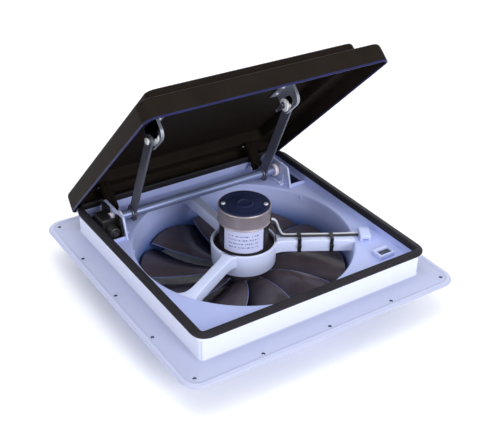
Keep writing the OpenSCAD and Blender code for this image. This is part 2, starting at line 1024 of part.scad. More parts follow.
module lift_shaft() {
  color(bright)
    translate([shaft_left, shaft_y, shaft_z])
      rotate([0, 90, 0])
        difference() {
          cylinder(h = shaft_right - shaft_left, r = shaft_r);
          translate([0, 0, -1])
            cylinder(h = shaft_right - shaft_left + 2, r = shaft_r - shaft_wall);
        }
}

module shaft_collars() {
  color(bright)
    for (x = collar_places)
      translate([x, shaft_y, shaft_z])
        rotate([0, 90, 0])
          difference() {
            cylinder(h = collar_len, r = collar_r);
            translate([0, 0, -1])
              cylinder(h = collar_len + 2, r = shaft_r + fit_fixed);
          }
}

module lift_arm(x_mid) {
  translate([x_mid, shaft_y, shaft_z])
    difference() {
      union() {
        along_x(-lift_t / 2, lift_t)
          rotate(180 - lift_open) {
            translate([0, -lift_w / 2])
              square([lift_len, lift_w]);
            translate([lift_len, 0])
              circle(lift_w / 2 + 1);
            circle(lift_w / 2 + 4);
          }
        along_x(-lift_t / 2 - 2, lift_t + 4)
          circle(collar_r);
      }
      rotate([0, 90, 0])
        cylinder(h = 20, r = shaft_r + fit_fixed, center = true);
      translate([0, pin_y - shaft_y, pin_z - shaft_z])
        rotate([0, 90, 0])
          cylinder(h = 20, r = pin_r + fit_fixed, center = true);
    }
}

module lift_arm_left() {
  color(steel)
    lift_arm(-lift_x);
}

module lift_arm_right() {
  color(steel)
    lift_arm(lift_x);
}

// Draws a right-hand pin part and its mirror image on the left
module both_pins() {
  for (s = [0, 1])
    mirror([s, 0, 0])
      translate([0, pin_y, pin_z])
        children();
}

module arm_pins() {
  color(bright)
    both_pins()
      rotate([0, 90, 0])
        union() {
          translate([0, 0, pin_x0])
            cylinder(h = pin_head_t, r = pin_head_r);
          translate([0, 0, pin_x0 - 1])
            cylinder(h = 1.5, r = pin_disc_r);
          translate([0, 0, pin_x0])
            cylinder(h = pin_x1 - pin_x0 + pin_end_t, r = pin_r);
          translate([0, 0, pin_x1])
            cylinder(h = pin_end_t, r = pin_end_r);
        }
}

module slide_bushes() {
  color(white)
    both_pins()
      translate([pin_x0 + pin_head_t, 0, 0])
        rotate([0, 90, 0])
          difference() {
            cylinder(h = lift_x - lift_t / 2 - pin_x0 - pin_head_t, r = bush_r);
            translate([0, 0, -1])
              cylinder(h = 20, r = pin_r + fit_fixed);
          }
}

module pin_clips() {
  color(steel)
    both_pins()
      along_x(pin_x0 - 1 - clip_t, clip_t)
        rotate(-lid_open)
          union() {
            polygon([
              [0, -clip_root],
              [clip_len, -clip_tip_r],
              [clip_len, clip_tip_r],
              [0, clip_root]
            ]);
            circle(clip_r);
            translate([clip_len, 0])
              circle(clip_tip_r);
          }
}

module blade_shape() {
  intersection() {
    translate([0, 0, -blade_half_z - 1])
      linear_extrude(2 * blade_half_z + 2)
        intersection() {
          difference() {
            circle(fan_r);
            circle(fan_hub_r - 1);
          }
          polygon(blade_outline);
        }
    rotate([blade_pitch, 0, 0])
      translate([0, 0, -blade_camber_r + blade_rise])
        rotate([0, 90, 0])
          difference() {
            cylinder(h = fan_r + 10, r = blade_camber_r, $fn = 180);
            translate([0, 0, -1])
              cylinder(h = fan_r + 12, r = blade_camber_r - blade_t, $fn = 180);
          }
    translate([0, -fan_r / 2, -blade_half_z])
      cube([fan_r + 10, fan_r, 2 * blade_half_z]);
  }
}

module fan_impeller() {
  color(smoke)
    difference() {
      union() {
        translate([0, 0, fan_top - fan_hub_h])
          cylinder(h = fan_hub_h, r = fan_hub_r);
        for (k = [0 : blades - 1])
          rotate([0, 0, 360 / blades * k])
            translate([0, 0, blade_mid_z])
              blade_shape();
      }
      translate([0, 0, fan_top - fan_hub_h - 1])
        cylinder(h = fan_hub_h - 3, r = fan_hub_r - 3);
      translate([0, 0, fan_top - fan_hub_h - 1])
        cylinder(h = fan_hub_h + 2, r = motor_shaft_r + fit_fixed);
    }
}

module motor_shaft() {
  color(bright)
    translate([0, 0, motor_shaft_z0])
      cylinder(h = motor_shaft_z1 - motor_shaft_z0, r = motor_shaft_r);
}

module fan_nut() {
  color(bright)
    translate([0, 0, fan_top - 4 - nut_h])
      difference() {
        linear_extrude(nut_h)
          circle(nut_across / 2 / cos(180 / 6), $fn = 6);
        translate([0, 0, -1])
          cylinder(h = nut_h + 2, r = motor_shaft_r + fit_fixed);
      }
}

roof_base();
rim_seal();
motor_spider();
motor_can();
motor_end_bell();
motor_end_plate();
motor_plate_screws();
motor_mount_screws();
motor_label();
motor_grommet();
wire_white();
wire_black();
cable_ties();
wire_gland();
sensor_housing();
sensor_plate();
shaft_plate_left();
shaft_plate_right();
shaft_plate_screws();
hinge_pins();
lift_gearbox();
lift_motor();
gearbox_screws();
lid_shell();
hinge_arm_left();
hinge_arm_right();
hinge_arm_screws();
lid_bracket_left();
lid_bracket_right();
bracket_screws();
lift_shaft();
shaft_collars();
lift_arm_left();
lift_arm_right();
arm_pins();
slide_bushes();
pin_clips();
fan_impeller();
motor_shaft();
fan_nut();
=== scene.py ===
import math

import bpy
from mathutils import Matrix, Vector


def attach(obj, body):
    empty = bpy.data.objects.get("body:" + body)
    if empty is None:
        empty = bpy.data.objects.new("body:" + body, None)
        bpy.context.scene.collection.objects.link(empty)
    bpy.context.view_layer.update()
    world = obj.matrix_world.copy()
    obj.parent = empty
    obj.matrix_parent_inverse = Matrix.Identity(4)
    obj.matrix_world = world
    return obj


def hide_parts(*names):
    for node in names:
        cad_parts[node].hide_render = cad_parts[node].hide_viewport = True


# Lengths in this script are millimetres in the part's own frame; put() turns them into metres.
MM = 0.001
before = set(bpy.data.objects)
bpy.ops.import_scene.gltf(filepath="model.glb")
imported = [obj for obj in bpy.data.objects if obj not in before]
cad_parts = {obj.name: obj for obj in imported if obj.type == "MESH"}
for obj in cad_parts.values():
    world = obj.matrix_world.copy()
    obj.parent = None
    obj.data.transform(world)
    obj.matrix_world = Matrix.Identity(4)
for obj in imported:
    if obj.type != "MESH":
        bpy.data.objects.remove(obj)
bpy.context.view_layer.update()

# ---------------------------------------------------------------- shared sizes
DECK = 24.0
HINGE = Vector((0, 158, 28))
HINGE_X = 124
SHAFT = Vector((0, 118, 40))
WELL_X, WELL_Y, WELL_HALF_X, WELL_HALF_Y = 152.0, 125.25, 12.5, 39.25
HOLE_CORNER, HOLE_ROW, HOLE_STEP, HOLE_R = 192, 197.5, 100, 2.4
SPIDER_IN, SPIDER_OUT = 43.4, 155.4
WIRE_R = 1.7
BLADES, BLADE_IN, BLADE_OUT = 10, 28.5, 143
EDGE_AREA = 14.0
LIFT_OPEN = math.radians(66.47)
LIFT_LEN = 152.7
LIFT_X = 110.5
PIN = SHAFT + LIFT_LEN * Vector((0, -math.cos(LIFT_OPEN), math.sin(LIFT_OPEN)))
ARM_ANGLES = (90, 210, 330)
WIRE_ARM = math.radians(330)
LID_OPEN = Matrix.Translation(HINGE) @ Matrix.Rotation(math.radians(-45), 4, "X") @ Matrix.Translation(-HINGE)


# ---------------------------------------------------------------- mesh helpers
def at(x, y, z):
    return Matrix.Translation((x, y, z))


def turned(degrees, axis="Z"):
    return Matrix.Rotation(math.radians(degrees), 4, axis)


def put(name, verts, faces, mat, body, replaces=(), slot=None, sharp=35, matrix=None):
    """Makes one piece from points in millimetres, and lets it ride on a CAD body."""
    me = bpy.data.meshes.new(name)
    pts = [Vector(v) for v in verts]
    if matrix is not None:
        pts = [matrix @ p for p in pts]
    me.from_pydata([p * MM for p in pts], [], [list(f) for f in faces])
    me.validate()
    return finish_mesh(name, me, mat, body, replaces, sharp)


def finish_mesh(name, me, mat, body, replaces=(), sharp=35):
    me.polygons.foreach_set("use_smooth", [True] * len(me.polygons))
    me.set_sharp_from_angle(angle=math.radians(sharp))
    me.materials.clear()
    me.materials.append(mat)
    o = bpy.data.objects.new(name, me)
    bpy.context.scene.collection.objects.link(o)
    if body == "stage":
        return o
    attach(o, body)
    if replaces:
        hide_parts(*replaces)
    return o


def merge(parts):
    """Joins (points, faces) lists into one."""
    verts, faces = [], []
    for v, f in parts:
        k = len(verts)
        verts.extend(tuple(p) for p in v)
        faces.extend([tuple(i + k for i in face) for face in f])
    return verts, faces


def moved(part, matrix):
    v, f = part
    return [matrix @ Vector(p) for p in v], f


def mirrored(part):
    v, f = part
    return [Vector((-p[0], p[1], p[2])) for p in v], [tuple(reversed(q)) for q in f]


def loft(rings, closed=False, cap_first=False, cap_last=False):
    """Skins rings of equal length."""
    n = len(rings[0])
    verts = [p for ring in rings for p in ring]
    faces = []
    count = len(rings)
    for i in range(count if closed else count - 1):
        j = (i + 1) % count
        for k in range(n):
            m = (k + 1) % n
            faces.append((i * n + k, i * n + m, j * n + m, j * n + k))
    if cap_first:
        faces.append(tuple(reversed(range(n))))
    if cap_last:
        faces.append(tuple(range((count - 1) * n, count * n)))
    return verts, faces


def corner_angles():
    """Angles round the centre, close together where square outlines have their corners."""
    near = (0, 0.35, 0.7, 1.05, 1.4, 1.75, 2.15, 2.6, 3.1, 3.7, 4.5, 5.5, 7.0)
    quarter = sorted({-d for d in near} | set(near) | {d * s for d in range(9, 46, 3) for s in (-1, 1)})
    quarter = [a for a in quarter if -45 <= a < 45]
    return [math.radians(45 + 90 * q + a) for q in range(4) for a in quarter]


ANGLES = corner_angles()


def square_point(angle, x1, y0, y1, r, rear_r=None):
    """Where a ray from the centre meets a rounded rectangle reaching x1, y0 and y1."""
    c, s = math.cos(angle), math.sin(angle)
    if rear_r is not None and s > 0:
        r = rear_r
    ex = x1
    ey = y1 if s >= 0 else -y0
    t = min(ex / abs(c) if abs(c) > 1e-9 else 1e9, ey / abs(s) if abs(s) > 1e-9 else 1e9)
    px, py = abs(c) * t, abs(s) * t
    cx, cy = ex - r, ey - r
    if px > cx and py > cy:
        b = abs(c) * cx + abs(s) * cy
        q = cx * cx + cy * cy - r * r
        t = b + math.sqrt(max(b * b - q, 0))
    return c * t, s * t


def square_ring(half, r, z, rear=None, rear_r=None):
    y1 = half if rear is None else rear
    return [(*square_point(a, half, -half, y1, max(r, 0.3), rear_r), z) for a in ANGLES]


def circle_ring(r, z):
    return [(r * math.cos(a), r * math.sin(a), z) for a in ANGLES]


def revolve(profile, n=96, closed=True):
    """Turns (radius, height) points round Z. A closed profile makes a ring-shaped solid."""
    turns = [2 * math.pi * k / n for k in range(n)]
    rings = [[(r * math.cos(a), r * math.sin(a), z) for a in turns] for r, z in profile]
    if closed:
        return loft(rings, closed=True)
    return loft(rings, cap_first=profile[0][0] > 0, cap_last=profile[-1][0] > 0)


def ring_rect(cx, cy, hx, hy, r, z, n=5):
    """A level rounded rectangle round (cx, cy)."""
    pts = []
    for q, (sx, sy) in enumerate(((1, 1), (-1, 1), (-1, -1), (1, -1))):
        for k in range(n + 1):
            a = math.radians(90 * q + 90 * k / n)
            pts.append((cx + sx * (hx - r) + r * math.cos(a), cy + sy * (hy - r) + r * math.sin(a), z))
    return pts


def rounded_box(x0, x1, y0, y1, z0, z1, r=1.0, n=5):
    """A box with rounded upright edges and rounded top and bottom edges."""
    cx, cy = (x0 + x1) / 2, (y0 + y1) / 2
    hx, hy = (x1 - x0) / 2, (y1 - y0) / 2
    r = min(r, hx * 0.98, hy * 0.98, (z1 - z0) * 0.49)

    def ring(inset, z):
        rr = max(r * 1.2 - inset, 0.05)
        rr = min(rr, hx - inset - 0.01, hy - inset - 0.01)
        return ring_rect(cx, cy, hx - inset, hy - inset, rr, z, n)

    bends = [(math.sin(math.radians(a)), math.cos(math.radians(a))) for a in (0, 30, 60, 90)]
    rings = [ring(r * (1 - s), z0 + r * (1 - c)) for s, c in bends]
    rings += [ring(r * (1 - c), z1 - r * (1 - s)) for s, c in bends]
    return loft(rings, cap_first=True, cap_last=True)


def plate(outlines, thickness, bevel=0.4):
    """A flat plate in X and Y from closed outlines: first its edge, and then its holes."""
    cu = bpy.data.curves.new("outline", "CURVE")
    cu.dimensions = "2D"
    cu.fill_mode = "BOTH"
    cu.extrude = thickness / 2 - bevel
    cu.bevel_depth = bevel
    cu.bevel_resolution = 3
    cu.offset = -bevel
    for pts in outlines:
        sp = cu.splines.new("POLY")
        sp.points.add(len(pts) - 1)
        for i, p in enumerate(pts):
            sp.points[i].co = (p[0], p[1], 0, 1)
        sp.use_cyclic_u = True
    o = bpy.data.objects.new("outline", cu)
    bpy.context.scene.collection.objects.link(o)
    dg = bpy.context.evaluated_depsgraph_get()
    me = bpy.data.meshes.new_from_object(o.evaluated_get(dg))
    v = [tuple(p.co) for p in me.vertices]
    f = [tuple(p.vertices) for p in me.polygons]
    bpy.data.objects.remove(o)
    bpy.data.curves.remove(cu)
    bpy.data.meshes.remove(me)
    return v, f


# YZ stands a flat outline up in Y and Z, and TO_X lays an upright drum along X.
YZ = Matrix(((0, 0, 1, 0), (1, 0, 0, 0), (0, 1, 0, 0), (0, 0, 0, 1)))
TO_X = turned(90, "Y")


def side_plate(outlines, x, thickness, bevel=0.4):
    """A plate whose outline is in Y and Z, centred on x."""
    return moved(plate(outlines, thickness, bevel), at(x, 0, 0) @ YZ)


def arc(cx, cy, r, a0, a1, n=12):
    turns = [math.radians(a0 + (a1 - a0) * k / n) for k in range(n + 1)]
    return [(cx + r * math.cos(a), cy + r * math.sin(a)) for a in turns]


def circle2(cx, cy, r, n=32):
    return arc(cx, cy, r, 0, 360 * (n - 1) / n, n - 1)


def rounded_outline(x0, x1, y0, y1, r, n=6):
    return (
        arc(x1 - r, y1 - r, r, 0, 90, n)
        + arc(x0 + r, y1 - r, r, 90, 180, n)
        + arc(x0 + r, y0 + r, r, 180, 270, n)
        + arc(x1 - r, y0 + r, r, 270, 360, n)
    )


def tube(points, radius, sides=16, steps=6):
    """A smooth round tube through points."""
    pts = [Vector(p) for p in points]
    path = []
    for i in range(len(pts) - 1):
        a, b, c, d = pts[max(i - 1, 0)], pts[i], pts[i + 1], pts[min(i + 2, len(pts) - 1)]
        for k in range(steps):
            t = k / steps
            bend = (2 * a - 5 * b + 4 * c - d) * t * t + (3 * b - a - 3 * c + d) * t * t * t
            path.append(0.5 * (2 * b + (c - a) * t + bend))
    path.append(pts[-1])
    turns = [2 * math.pi * k / sides for k in range(sides)]
    up = None
    rings = []
    for i, p in enumerate(path):
        t = (path[min(i + 1, len(path) - 1)] - path[max(i - 1, 0)]).normalized()
        if up is None:
            up = t.orthogonal().normalized()
        up = (up - t * up.dot(t)).normalized()
        side = t.cross(up)
        rings.append([p + radius * (math.cos(a) * up + math.sin(a) * side) for a in turns])
    return loft(rings, cap_first=True, cap_last=True)


def cut(name, solid, cutters):
    """Cuts the cutters out of a solid. Both are (points, faces)."""

    def temp(part, label):
        me = bpy.data.meshes.new(label)
        me.from_pydata([tuple(p) for p in part[0]], [], [tuple(f) for f in part[1]])
        o = bpy.data.objects.new(label, me)
        bpy.context.scene.collection.objects.link(o)
        return o

    a = temp(solid, name + "_a")
    b = temp(merge(cutters), name + "_b")
    m = a.modifiers.new("cut", "BOOLEAN")
    m.operation = "DIFFERENCE"
    m.solver = "EXACT"
    m.use_self = True
    m.object = b
    dg = bpy.context.evaluated_depsgraph_get()
    me = bpy.data.meshes.new_from_object(a.evaluated_get(dg))
    out = [tuple(v.co) for v in me.vertices], [tuple(p.vertices) for p in me.polygons]
    for o in (a, b):
        data = o.data
        bpy.data.objects.remove(o)
        bpy.data.meshes.remove(data)
    bpy.data.meshes.remove(me)
    return out


def drum(r, z0, z1, n=32):
    return revolve([(r, z0), (r, z1)], n=n, closed=False)


def soft_drum(r, z0, z1, edge=0.5, n=48, bore=0.0):
    """A drum with rounded rims, with a bore if one is given."""
    profile = [(bore, z0), (r - edge, z0), (r - edge * 0.3, z0 + edge * 0.3), (r, z0 + edge)]
    profile += [(r, z1 - edge), (r - edge * 0.3, z1 - edge * 0.3), (r - edge, z1), (bore, z1)]
    if bore > 0:
        return revolve(profile, n=n, closed=True)
    return revolve([(0.01, z0)] + profile[1:-1] + [(0.01, z1)], n=n, closed=False)


def make_screw(head_r, head_h, shank_r, shank_l):
    """A pan head screw with a cross recess, head up, seat at height 0."""
    body = revolve(
        [
            (0.02, -shank_l), (shank_r, -shank_l + 0.5), (shank_r, -0.01), (head_r, 0),
            (head_r, head_h * 0.35), (head_r * 0.9, head_h * 0.7), (head_r * 0.68, head_h * 0.93),
            (head_r * 0.35, head_h), (0.02, head_h),
        ],
        n=28,
        closed=False,
    )
    half, width = head_r * 0.52, head_r * 0.13
    bar = rounded_box(-half, half, -width, width, head_h * 0.45, head_h + 1, 0.05, 2)
    return cut("screw", body, [moved(bar, turned(20)), moved(bar, turned(110))])


# ---------------------------------------------------------------- materials
ROUGH_SPREAD = 0.08
GRAIN_DEPTH = 0.0004


def fill(nt, node, inputs):
    """Gives each named input of a shader node a value or another node's output."""
    for key, value in inputs.items():
        if isinstance(value, bpy.types.NodeSocket):
            nt.links.new(value, node.inputs[key])
        else:
            node.inputs[key].default_value = value
    return node


def add(nt, kind, inputs):
    return fill(nt, nt.nodes.new(kind), inputs)


def maths(nt, operation, *values):
    n = add(nt, "ShaderNodeMath", dict(enumerate(values)))
    n.operation = operation
    return n.outputs[0]


def within(nt, value, low, high):
    """1 where the value lies between two limits."""
    return maths(
        nt, "MULTIPLY", maths(nt, "GREATER_THAN", value, low), maths(nt, "LESS_THAN", value, high)
    )


def fade(nt, value, low, high):
    """Rises from 0 to 1 between two lengths in millimetres."""
    n = add(nt, "ShaderNodeMapRange", {"Value": value, "From Min": low * MM, "From Max": high * MM})
    return n.outputs["Result"]


def blend(nt, factor, a, b):
    n = nt.nodes.new("ShaderNodeMix")
    n.data_type = "RGBA"
    return fill(nt, n, {"Factor": factor, "A": a, "B": b}).outputs["Result"]


def speckled(nt, noise, colour, spread, low=0.0, high=1.0):
    """A colour that gets lighter and darker with a noise."""
    ramp = add(nt, "ShaderNodeValToRGB", {"Fac": noise})
    for k, place, shade in ((0, low, 1 - spread), (1, high, 1 + spread)):
        ramp.color_ramp.elements[k].position = place
        ramp.color_ramp.elements[k].color = (*[min(max(c * shade, 0), 1) for c in colour], 1)
    return ramp.outputs["Color"]


def material(
    name, colour, rough=0.45, metal=0.0, spread=0.05, patch=30.0, grain=900.0, bump=0.06,
    stretch=(1, 1, 1), alpha=1.0, depth_shade=None, specular=0.5,
):
    """A procedural finish: colour and roughness vary in patches, and a fine grain raises the surface."""
    m = bpy.data.materials.new(name)
    m.use_nodes = True
    nt = m.node_tree
    here = nt.nodes.new("ShaderNodeTexCoord").outputs["Object"]
    place = add(nt, "ShaderNodeMapping", {"Vector": here, "Scale": stretch}).outputs["Vector"]
    big = add(nt, "ShaderNodeTexNoise", {"Vector": place, "Scale": patch, "Detail": 5}).outputs["Fac"]
    fine = add(nt, "ShaderNodeTexNoise", {"Vector": place, "Scale": grain, "Detail": 4}).outputs["Fac"]
    tone = speckled(nt, big, colour, spread, 0.3, 0.7)
    # Painted shade: the colour darkens towards a shade tone between two heights, going deeper.
    if depth_shade:
        shade_tone, low, high = depth_shade
        height = add(nt, "ShaderNodeSeparateXYZ", {"Vector": here}).outputs["Z"]
        tone = blend(nt, fade(nt, height, low, high), tone, (*shade_tone, 1))
    ends = {"To Min": max(rough - ROUGH_SPREAD, 0.03), "To Max": min(rough + ROUGH_SPREAD, 1)}
    shine = add(nt, "ShaderNodeMapRange", {"Value": big, **ends})
    relief = add(nt, "ShaderNodeBump", {"Height": fine, "Strength": bump, "Distance": GRAIN_DEPTH})
    fill(
        nt,
        nt.nodes["Principled BSDF"],
        {
            "Base Color": tone,
            "Roughness": shine.outputs["Result"],
            "Normal": relief.outputs["Normal"],
            "Metallic": metal,
            "Specular IOR Level": specular,
            "Alpha": alpha,
        },
    )
    return m


# One white plastic in lit and shaded copies: painted shade on flange, deck, ring and wells, and painted light
# on the curb's walls.
FLANGE_PAINTED_SHADE_TONE = (0.38, 0.405, 0.555)
CURB_PAINTED_LIGHT_TONE = (0.68, 0.71, 0.86)
INNER_PAINTED_SHADE_TONE = (0.45, 0.51, 0.83)
RING_PAINTED_SHADE_TONE = (0.075, 0.15, 0.44)
WELL_PAINTED_SHADE_TONE = (0.05, 0.06, 0.14)


def base_material():
    """White moulded plastic with painted light: a darker flange, lighter curb walls, a shaded deck, and
    painted shade deeper in the ring and in the wells.
    """
    m = material("base_plastic", INNER_PAINTED_SHADE_TONE, 0.40, spread=0.025, bump=0.05, grain=1400)
    nt = m.node_tree
    base_colour = nt.nodes["Principled BSDF"].inputs["Base Color"]
    here = nt.nodes.new("ShaderNodeTexCoord").outputs["Object"]
    x, y, z = add(nt, "ShaderNodeSeparateXYZ", {"Vector": here}).outputs
    noise = add(nt, "ShaderNodeTexNoise", {"Vector": here, "Scale": 40}).outputs["Fac"]
    far_x, far_y = maths(nt, "ABSOLUTE", x), maths(nt, "ABSOLUTE", y)
    flat = add(nt, "ShaderNodeVectorMath", {0: here, 1: (1, 1, 0)})
    flat.operation = "MULTIPLY"
    radius = add(nt, "ShaderNodeVectorMath", {0: flat.outputs[0]})
    radius.operation = "LENGTH"

    def tone(colour):
        return speckled(nt, noise, colour, 0.02)

    # Painted shade in the two corner wells.
    in_x = within(nt, far_x, 138.0 * MM, 165.8 * MM)
    in_y = within(nt, y, 85.0 * MM, 165.8 * MM)
    well_shade_mask = maths(nt, "MULTIPLY", in_x, in_y)
    well_shade_mask = maths(nt, "MULTIPLY", well_shade_mask, maths(nt, "LESS_THAN", z, 22.0 * MM))
    inner = blend(nt, well_shade_mask, base_colour.links[0].from_socket, tone(WELL_PAINTED_SHADE_TONE))
    # Painted shade in the ring, deepening further down the duct.
    ring_shade_mask = maths(nt, "LESS_THAN", radius.outputs["Value"], 150.6 * MM)
    ring_shade_mask = maths(nt, "MULTIPLY", fade(nt, z, 4, -26), ring_shade_mask)
    inner = blend(nt, ring_shade_mask, inner, tone(RING_PAINTED_SHADE_TONE))
    # Painted shade on the flange top and painted light on the curb's walls.
    outer = blend(nt, fade(nt, z, 3.4, 5.0), tone(FLANGE_PAINTED_SHADE_TONE), tone(CURB_PAINTED_LIGHT_TONE))
    outside = fade(nt, maths(nt, "MAXIMUM", far_x, far_y), 169, 170)
    nt.links.new(blend(nt, outside, inner, outer), base_colour)
    return m


BASE = base_material()
# The white plastic again in two copies: a darker one as painted shade for pieces on the deck, and a lighter
# one as painted light on the spider.
WHITE_PAINTED_SHADE = material("inner_plastic_painted_shade", (0.50, 0.56, 0.84), 0.38, spread=0.02, bump=0.05, grain=1400)
SPIDER_PAINTED_LIGHT = material("spider_plastic_painted_light", (0.66, 0.72, 0.96), 0.38, spread=0.02, bump=0.05, grain=1400)
HOLE = material("hole_shade", (0.03, 0.035, 0.09), 0.6, spread=0.1, bump=0.05)
SEAL = material("seal_rubber", (0.012, 0.010, 0.014), 0.60, spread=0.25, bump=0.2, grain=700, specular=0.25)
LID = material("lid_plastic", (0.0145, 0.011, 0.009), 0.42, spread=0.12, bump=0.03, grain=500, specular=0.012)
# Painted highlight: a bluish sheen along the lid skirt's lower rim.
LID_RIM_PAINTED_HIGHLIGHT = material("lid_rim_painted_highlight", (0.017, 0.019, 0.070), 0.40, spread=0.2, bump=0.03, grain=500, specular=0.08)
MOTOR_BLACK = material("motor_paint", (0.014, 0.010, 0.012), 0.40, spread=0.2, bump=0.12, specular=0.3)
MOTOR_SILVER = material(
    "motor_zinc", (0.36, 0.31, 0.33), 0.40, metal=0.55, spread=0.10, stretch=(1, 1, 12), grain=160, bump=0.05
)
MOTOR_PLATE = material(
    "motor_plate_paint", (0.022, 0.030, 0.080), 0.42, metal=0.2, spread=0.15, bump=0.15, specular=0.3
)
BRIGHT = material("bright_zinc", (0.72, 0.74, 0.80), 0.34, metal=0.55, spread=0.06, bump=0.05)
STEEL = material(
    "arm_steel", (0.13, 0.135, 0.18), 0.42, metal=0.45, spread=0.12, bump=0.12, stretch=(1, 1, 0.2)
)
STEEL_PALE = material("bracket_steel", (0.30, 0.32, 0.38), 0.38, metal=0.6, spread=0.12, bump=0.12)
SHAFT_METAL = material(
    "shaft_aluminium", (0.26, 0.31, 0.52), 0.36, metal=0.5, spread=0.05, bump=0.05, stretch=(0.05, 1, 1)
)
GROMMET = material("grommet_rubber", (0.020, 0.012, 0.012), 0.6, spread=0.2, bump=0.2)
WIRE_WHITE = material("wire_white", (0.60, 0.61, 0.68), 0.4, spread=0.03, bump=0.04)
WIRE_BLACK = material("wire_black", (0.010, 0.010, 0.015), 0.4, spread=0.2, bump=0.04)
TIE = material("tie_nylon", (0.008, 0.008, 0.014), 0.42, spread=0.2, bump=0.08)
SENSOR = material("sensor_board", (0.04, 0.045, 0.075), 0.4, spread=0.4, patch=260, bump=0.1)
GEARBOX = material("gearbox_plastic", (0.010, 0.009, 0.010), 0.45, spread=0.3, bump=0.2, specular=0.3)
DARK_STEEL = material("lift_motor_steel", (0.05, 0.045, 0.045), 0.4, metal=0.5, spread=0.2, bump=0.1)
# The fan's blades carry a painted shade that deepens further down the duct.
FAN = material(
    "fan_smoke", (0.080, 0.062, 0.072), 0.24, spread=0.25, patch=18, bump=0.03, grain=300, alpha=0.97,
    specular=0.35, depth_shade=((0.008, 0.011, 0.026), -18, -33),
)
# Painted highlight: a light blue sheen on the blades' thin edges.
FAN_EDGE_PAINTED_HIGHLIGHT = material("fan_edge_painted_highlight", (0.16, 0.20, 0.42), 0.22, spread=0.2, bump=0.03)
# Near-white non-metal: the white bushes' own colour, and painted light on the steel pin heads that sit in the
# lid's shade.
ROLLER_PAINTED_BRIGHT = material("roller_painted_bright", (0.94, 0.94, 0.97), 0.28, spread=0.06, bump=0.05)
# Painted shine: the steel collars are a pale non-metal so they look brightly lit.
COLLAR_PAINTED_SHINE = material("collar_steel_painted_shine", (0.88, 0.80, 0.85), 0.30, spread=0.08, bump=0.05)
FLOOR = material("floor_paint", (0.97, 0.97, 0.97), 0.85, spread=0.005, bump=0.02, grain=300)


def label_material():
    """White paper with rows of small unreadable dark marks."""
    m = material("label_paper", (0.60, 0.63, 0.86), 0.5, spread=0.03, bump=0.04)
    nt = m.node_tree
    base_colour = nt.nodes["Principled BSDF"].inputs["Base Color"]
    uv = nt.nodes.new("ShaderNodeTexCoord").outputs["UV"]
    u, v, _ = add(nt, "ShaderNodeSeparateXYZ", {"Vector": uv}).outputs
    rows = maths(nt, "MULTIPLY", v, 6.0)
    across = maths(nt, "MULTIPLY", u, 38.0)
    down = maths(nt, "MULTIPLY", maths(nt, "FLOOR", rows), 13.7)
    spot = add(nt, "ShaderNodeCombineXYZ", {"X": across, "Y": down}).outputs["Vector"]
    marks = add(nt, "ShaderNodeTexNoise", {"Vector": spot, "Scale": 1.0, "Detail": 2})
    ink = maths(nt, "GREATER_THAN", marks.outputs["Fac"], 0.50)
    band = within(nt, maths(nt, "FRACT", rows), 0.38, 0.72)
    for part in (band, within(nt, u, 0.12, 0.86), within(nt, v, 0.14, 0.9), 0.85):
        ink = maths(nt, "MULTIPLY", ink, part)
    paper = base_colour.links[0].from_socket
    nt.links.new(blend(nt, ink, paper, (0.05, 0.07, 0.30, 1)), base_colour)
    return m


LABEL = label_material()

SCREW_SMALL = make_screw(2.8, 1.4, 1.4, 3.5)
SCREW_PLATE = make_screw(3.2, 1.7, 1.5, 6.0)


# ---------------------------------------------------------------- roof base
def build_base():
    """The section from the duct's foot over deck, curb and flange, and back below: round, square, round."""
    duct = (
        (148.5, -54.9), (148.0, -54.0), (148.0, -18.5), (150.2, 3.0), (152.0, 20.0), (152.5, 22.0),
        (153.2, 23.3), (154.3, 23.9), (156.0, DECK),
    )
    curb = (
        (165.0, 4.6, 24.0), (166.4, 4.2, 24.3), (167.2, 3.8, 25.1), (167.5, 3.5, 26.4), (167.5, 3.5, 35.0),
        (167.6, 3.6, 38.3), (168.0, 4.0, 38.5), (174.1, 8.4, 38.5, 171.4), (174.7, 9.0, 38.0, 172.0),
        (174.7, 9.0, 36.0, 172.0), (174.1, 8.4, 35.5, 171.6), (171.8, 7.6, 35.5, 171.3),
        (171.0, 7.0, 34.6, 171.0), (171.0, 7.0, 6.0), (171.25, 7.2, 4.6), (172.0, 7.8, 3.6),
        (173.4, 9.0, 3.05), (176.0, 11.0, 3.0),
    )
    flange = (
        (198.2, 15.0, 3.0), (199.2, 15.6, 2.55), (200.8, 16.6, 2.5), (202.0, 17.6, 2.95), (203.4, 18.8, 3.7),
        (205.2, 20.2, 3.9), (207.2, 21.8, 3.4), (208.6, 23.0, 2.4), (209.4, 23.8, 1.2), (209.4, 23.9, 0.4),
        (208.8, 23.4, 0.0), (171.5, 7.0, 0.0), (168.0, 3.8, 0.0), (167.5, 3.4, 0.5), (167.5, 3.4, 20.0),
        (166.4, 3.4, 21.0),
    )
    below = ((156.4, 21.0), (155.3, 20.4), (151.2, -18.2), (151.0, -54.0), (150.5, -54.9))
    rings = [circle_ring(*row) for row in duct]
    rings += [square_ring(*row) for row in curb + flange]
    rings += [circle_ring(*row) for row in below]
    return loft(rings, closed=True)


def well_ring(sign, out, r, z):
    return ring_rect(WELL_X * sign, WELL_Y, WELL_HALF_X + out, WELL_HALF_Y + out, r, z)


def well(sign):
    """One open corner well under the deck, with its rim."""
    outside = (
        (0.8, 4.0), (1.8, 4.6), (2.0, 5.6), (2.0, 23.4), (1.8, 24.1), (1.2, 24.35), (0.4, 24.1), (0.0, 23.2),
    )
    inside = ((0.0, 8.0), (-0.5, 6.6), (-1.6, 6.0))
    rings = [well_ring(sign, out, 2.2 + out, z) for out, z in outside]
    rings += [well_ring(sign, out, 2.2, z) for out, z in inside]
    return loft(rings, cap_first=True, cap_last=True)


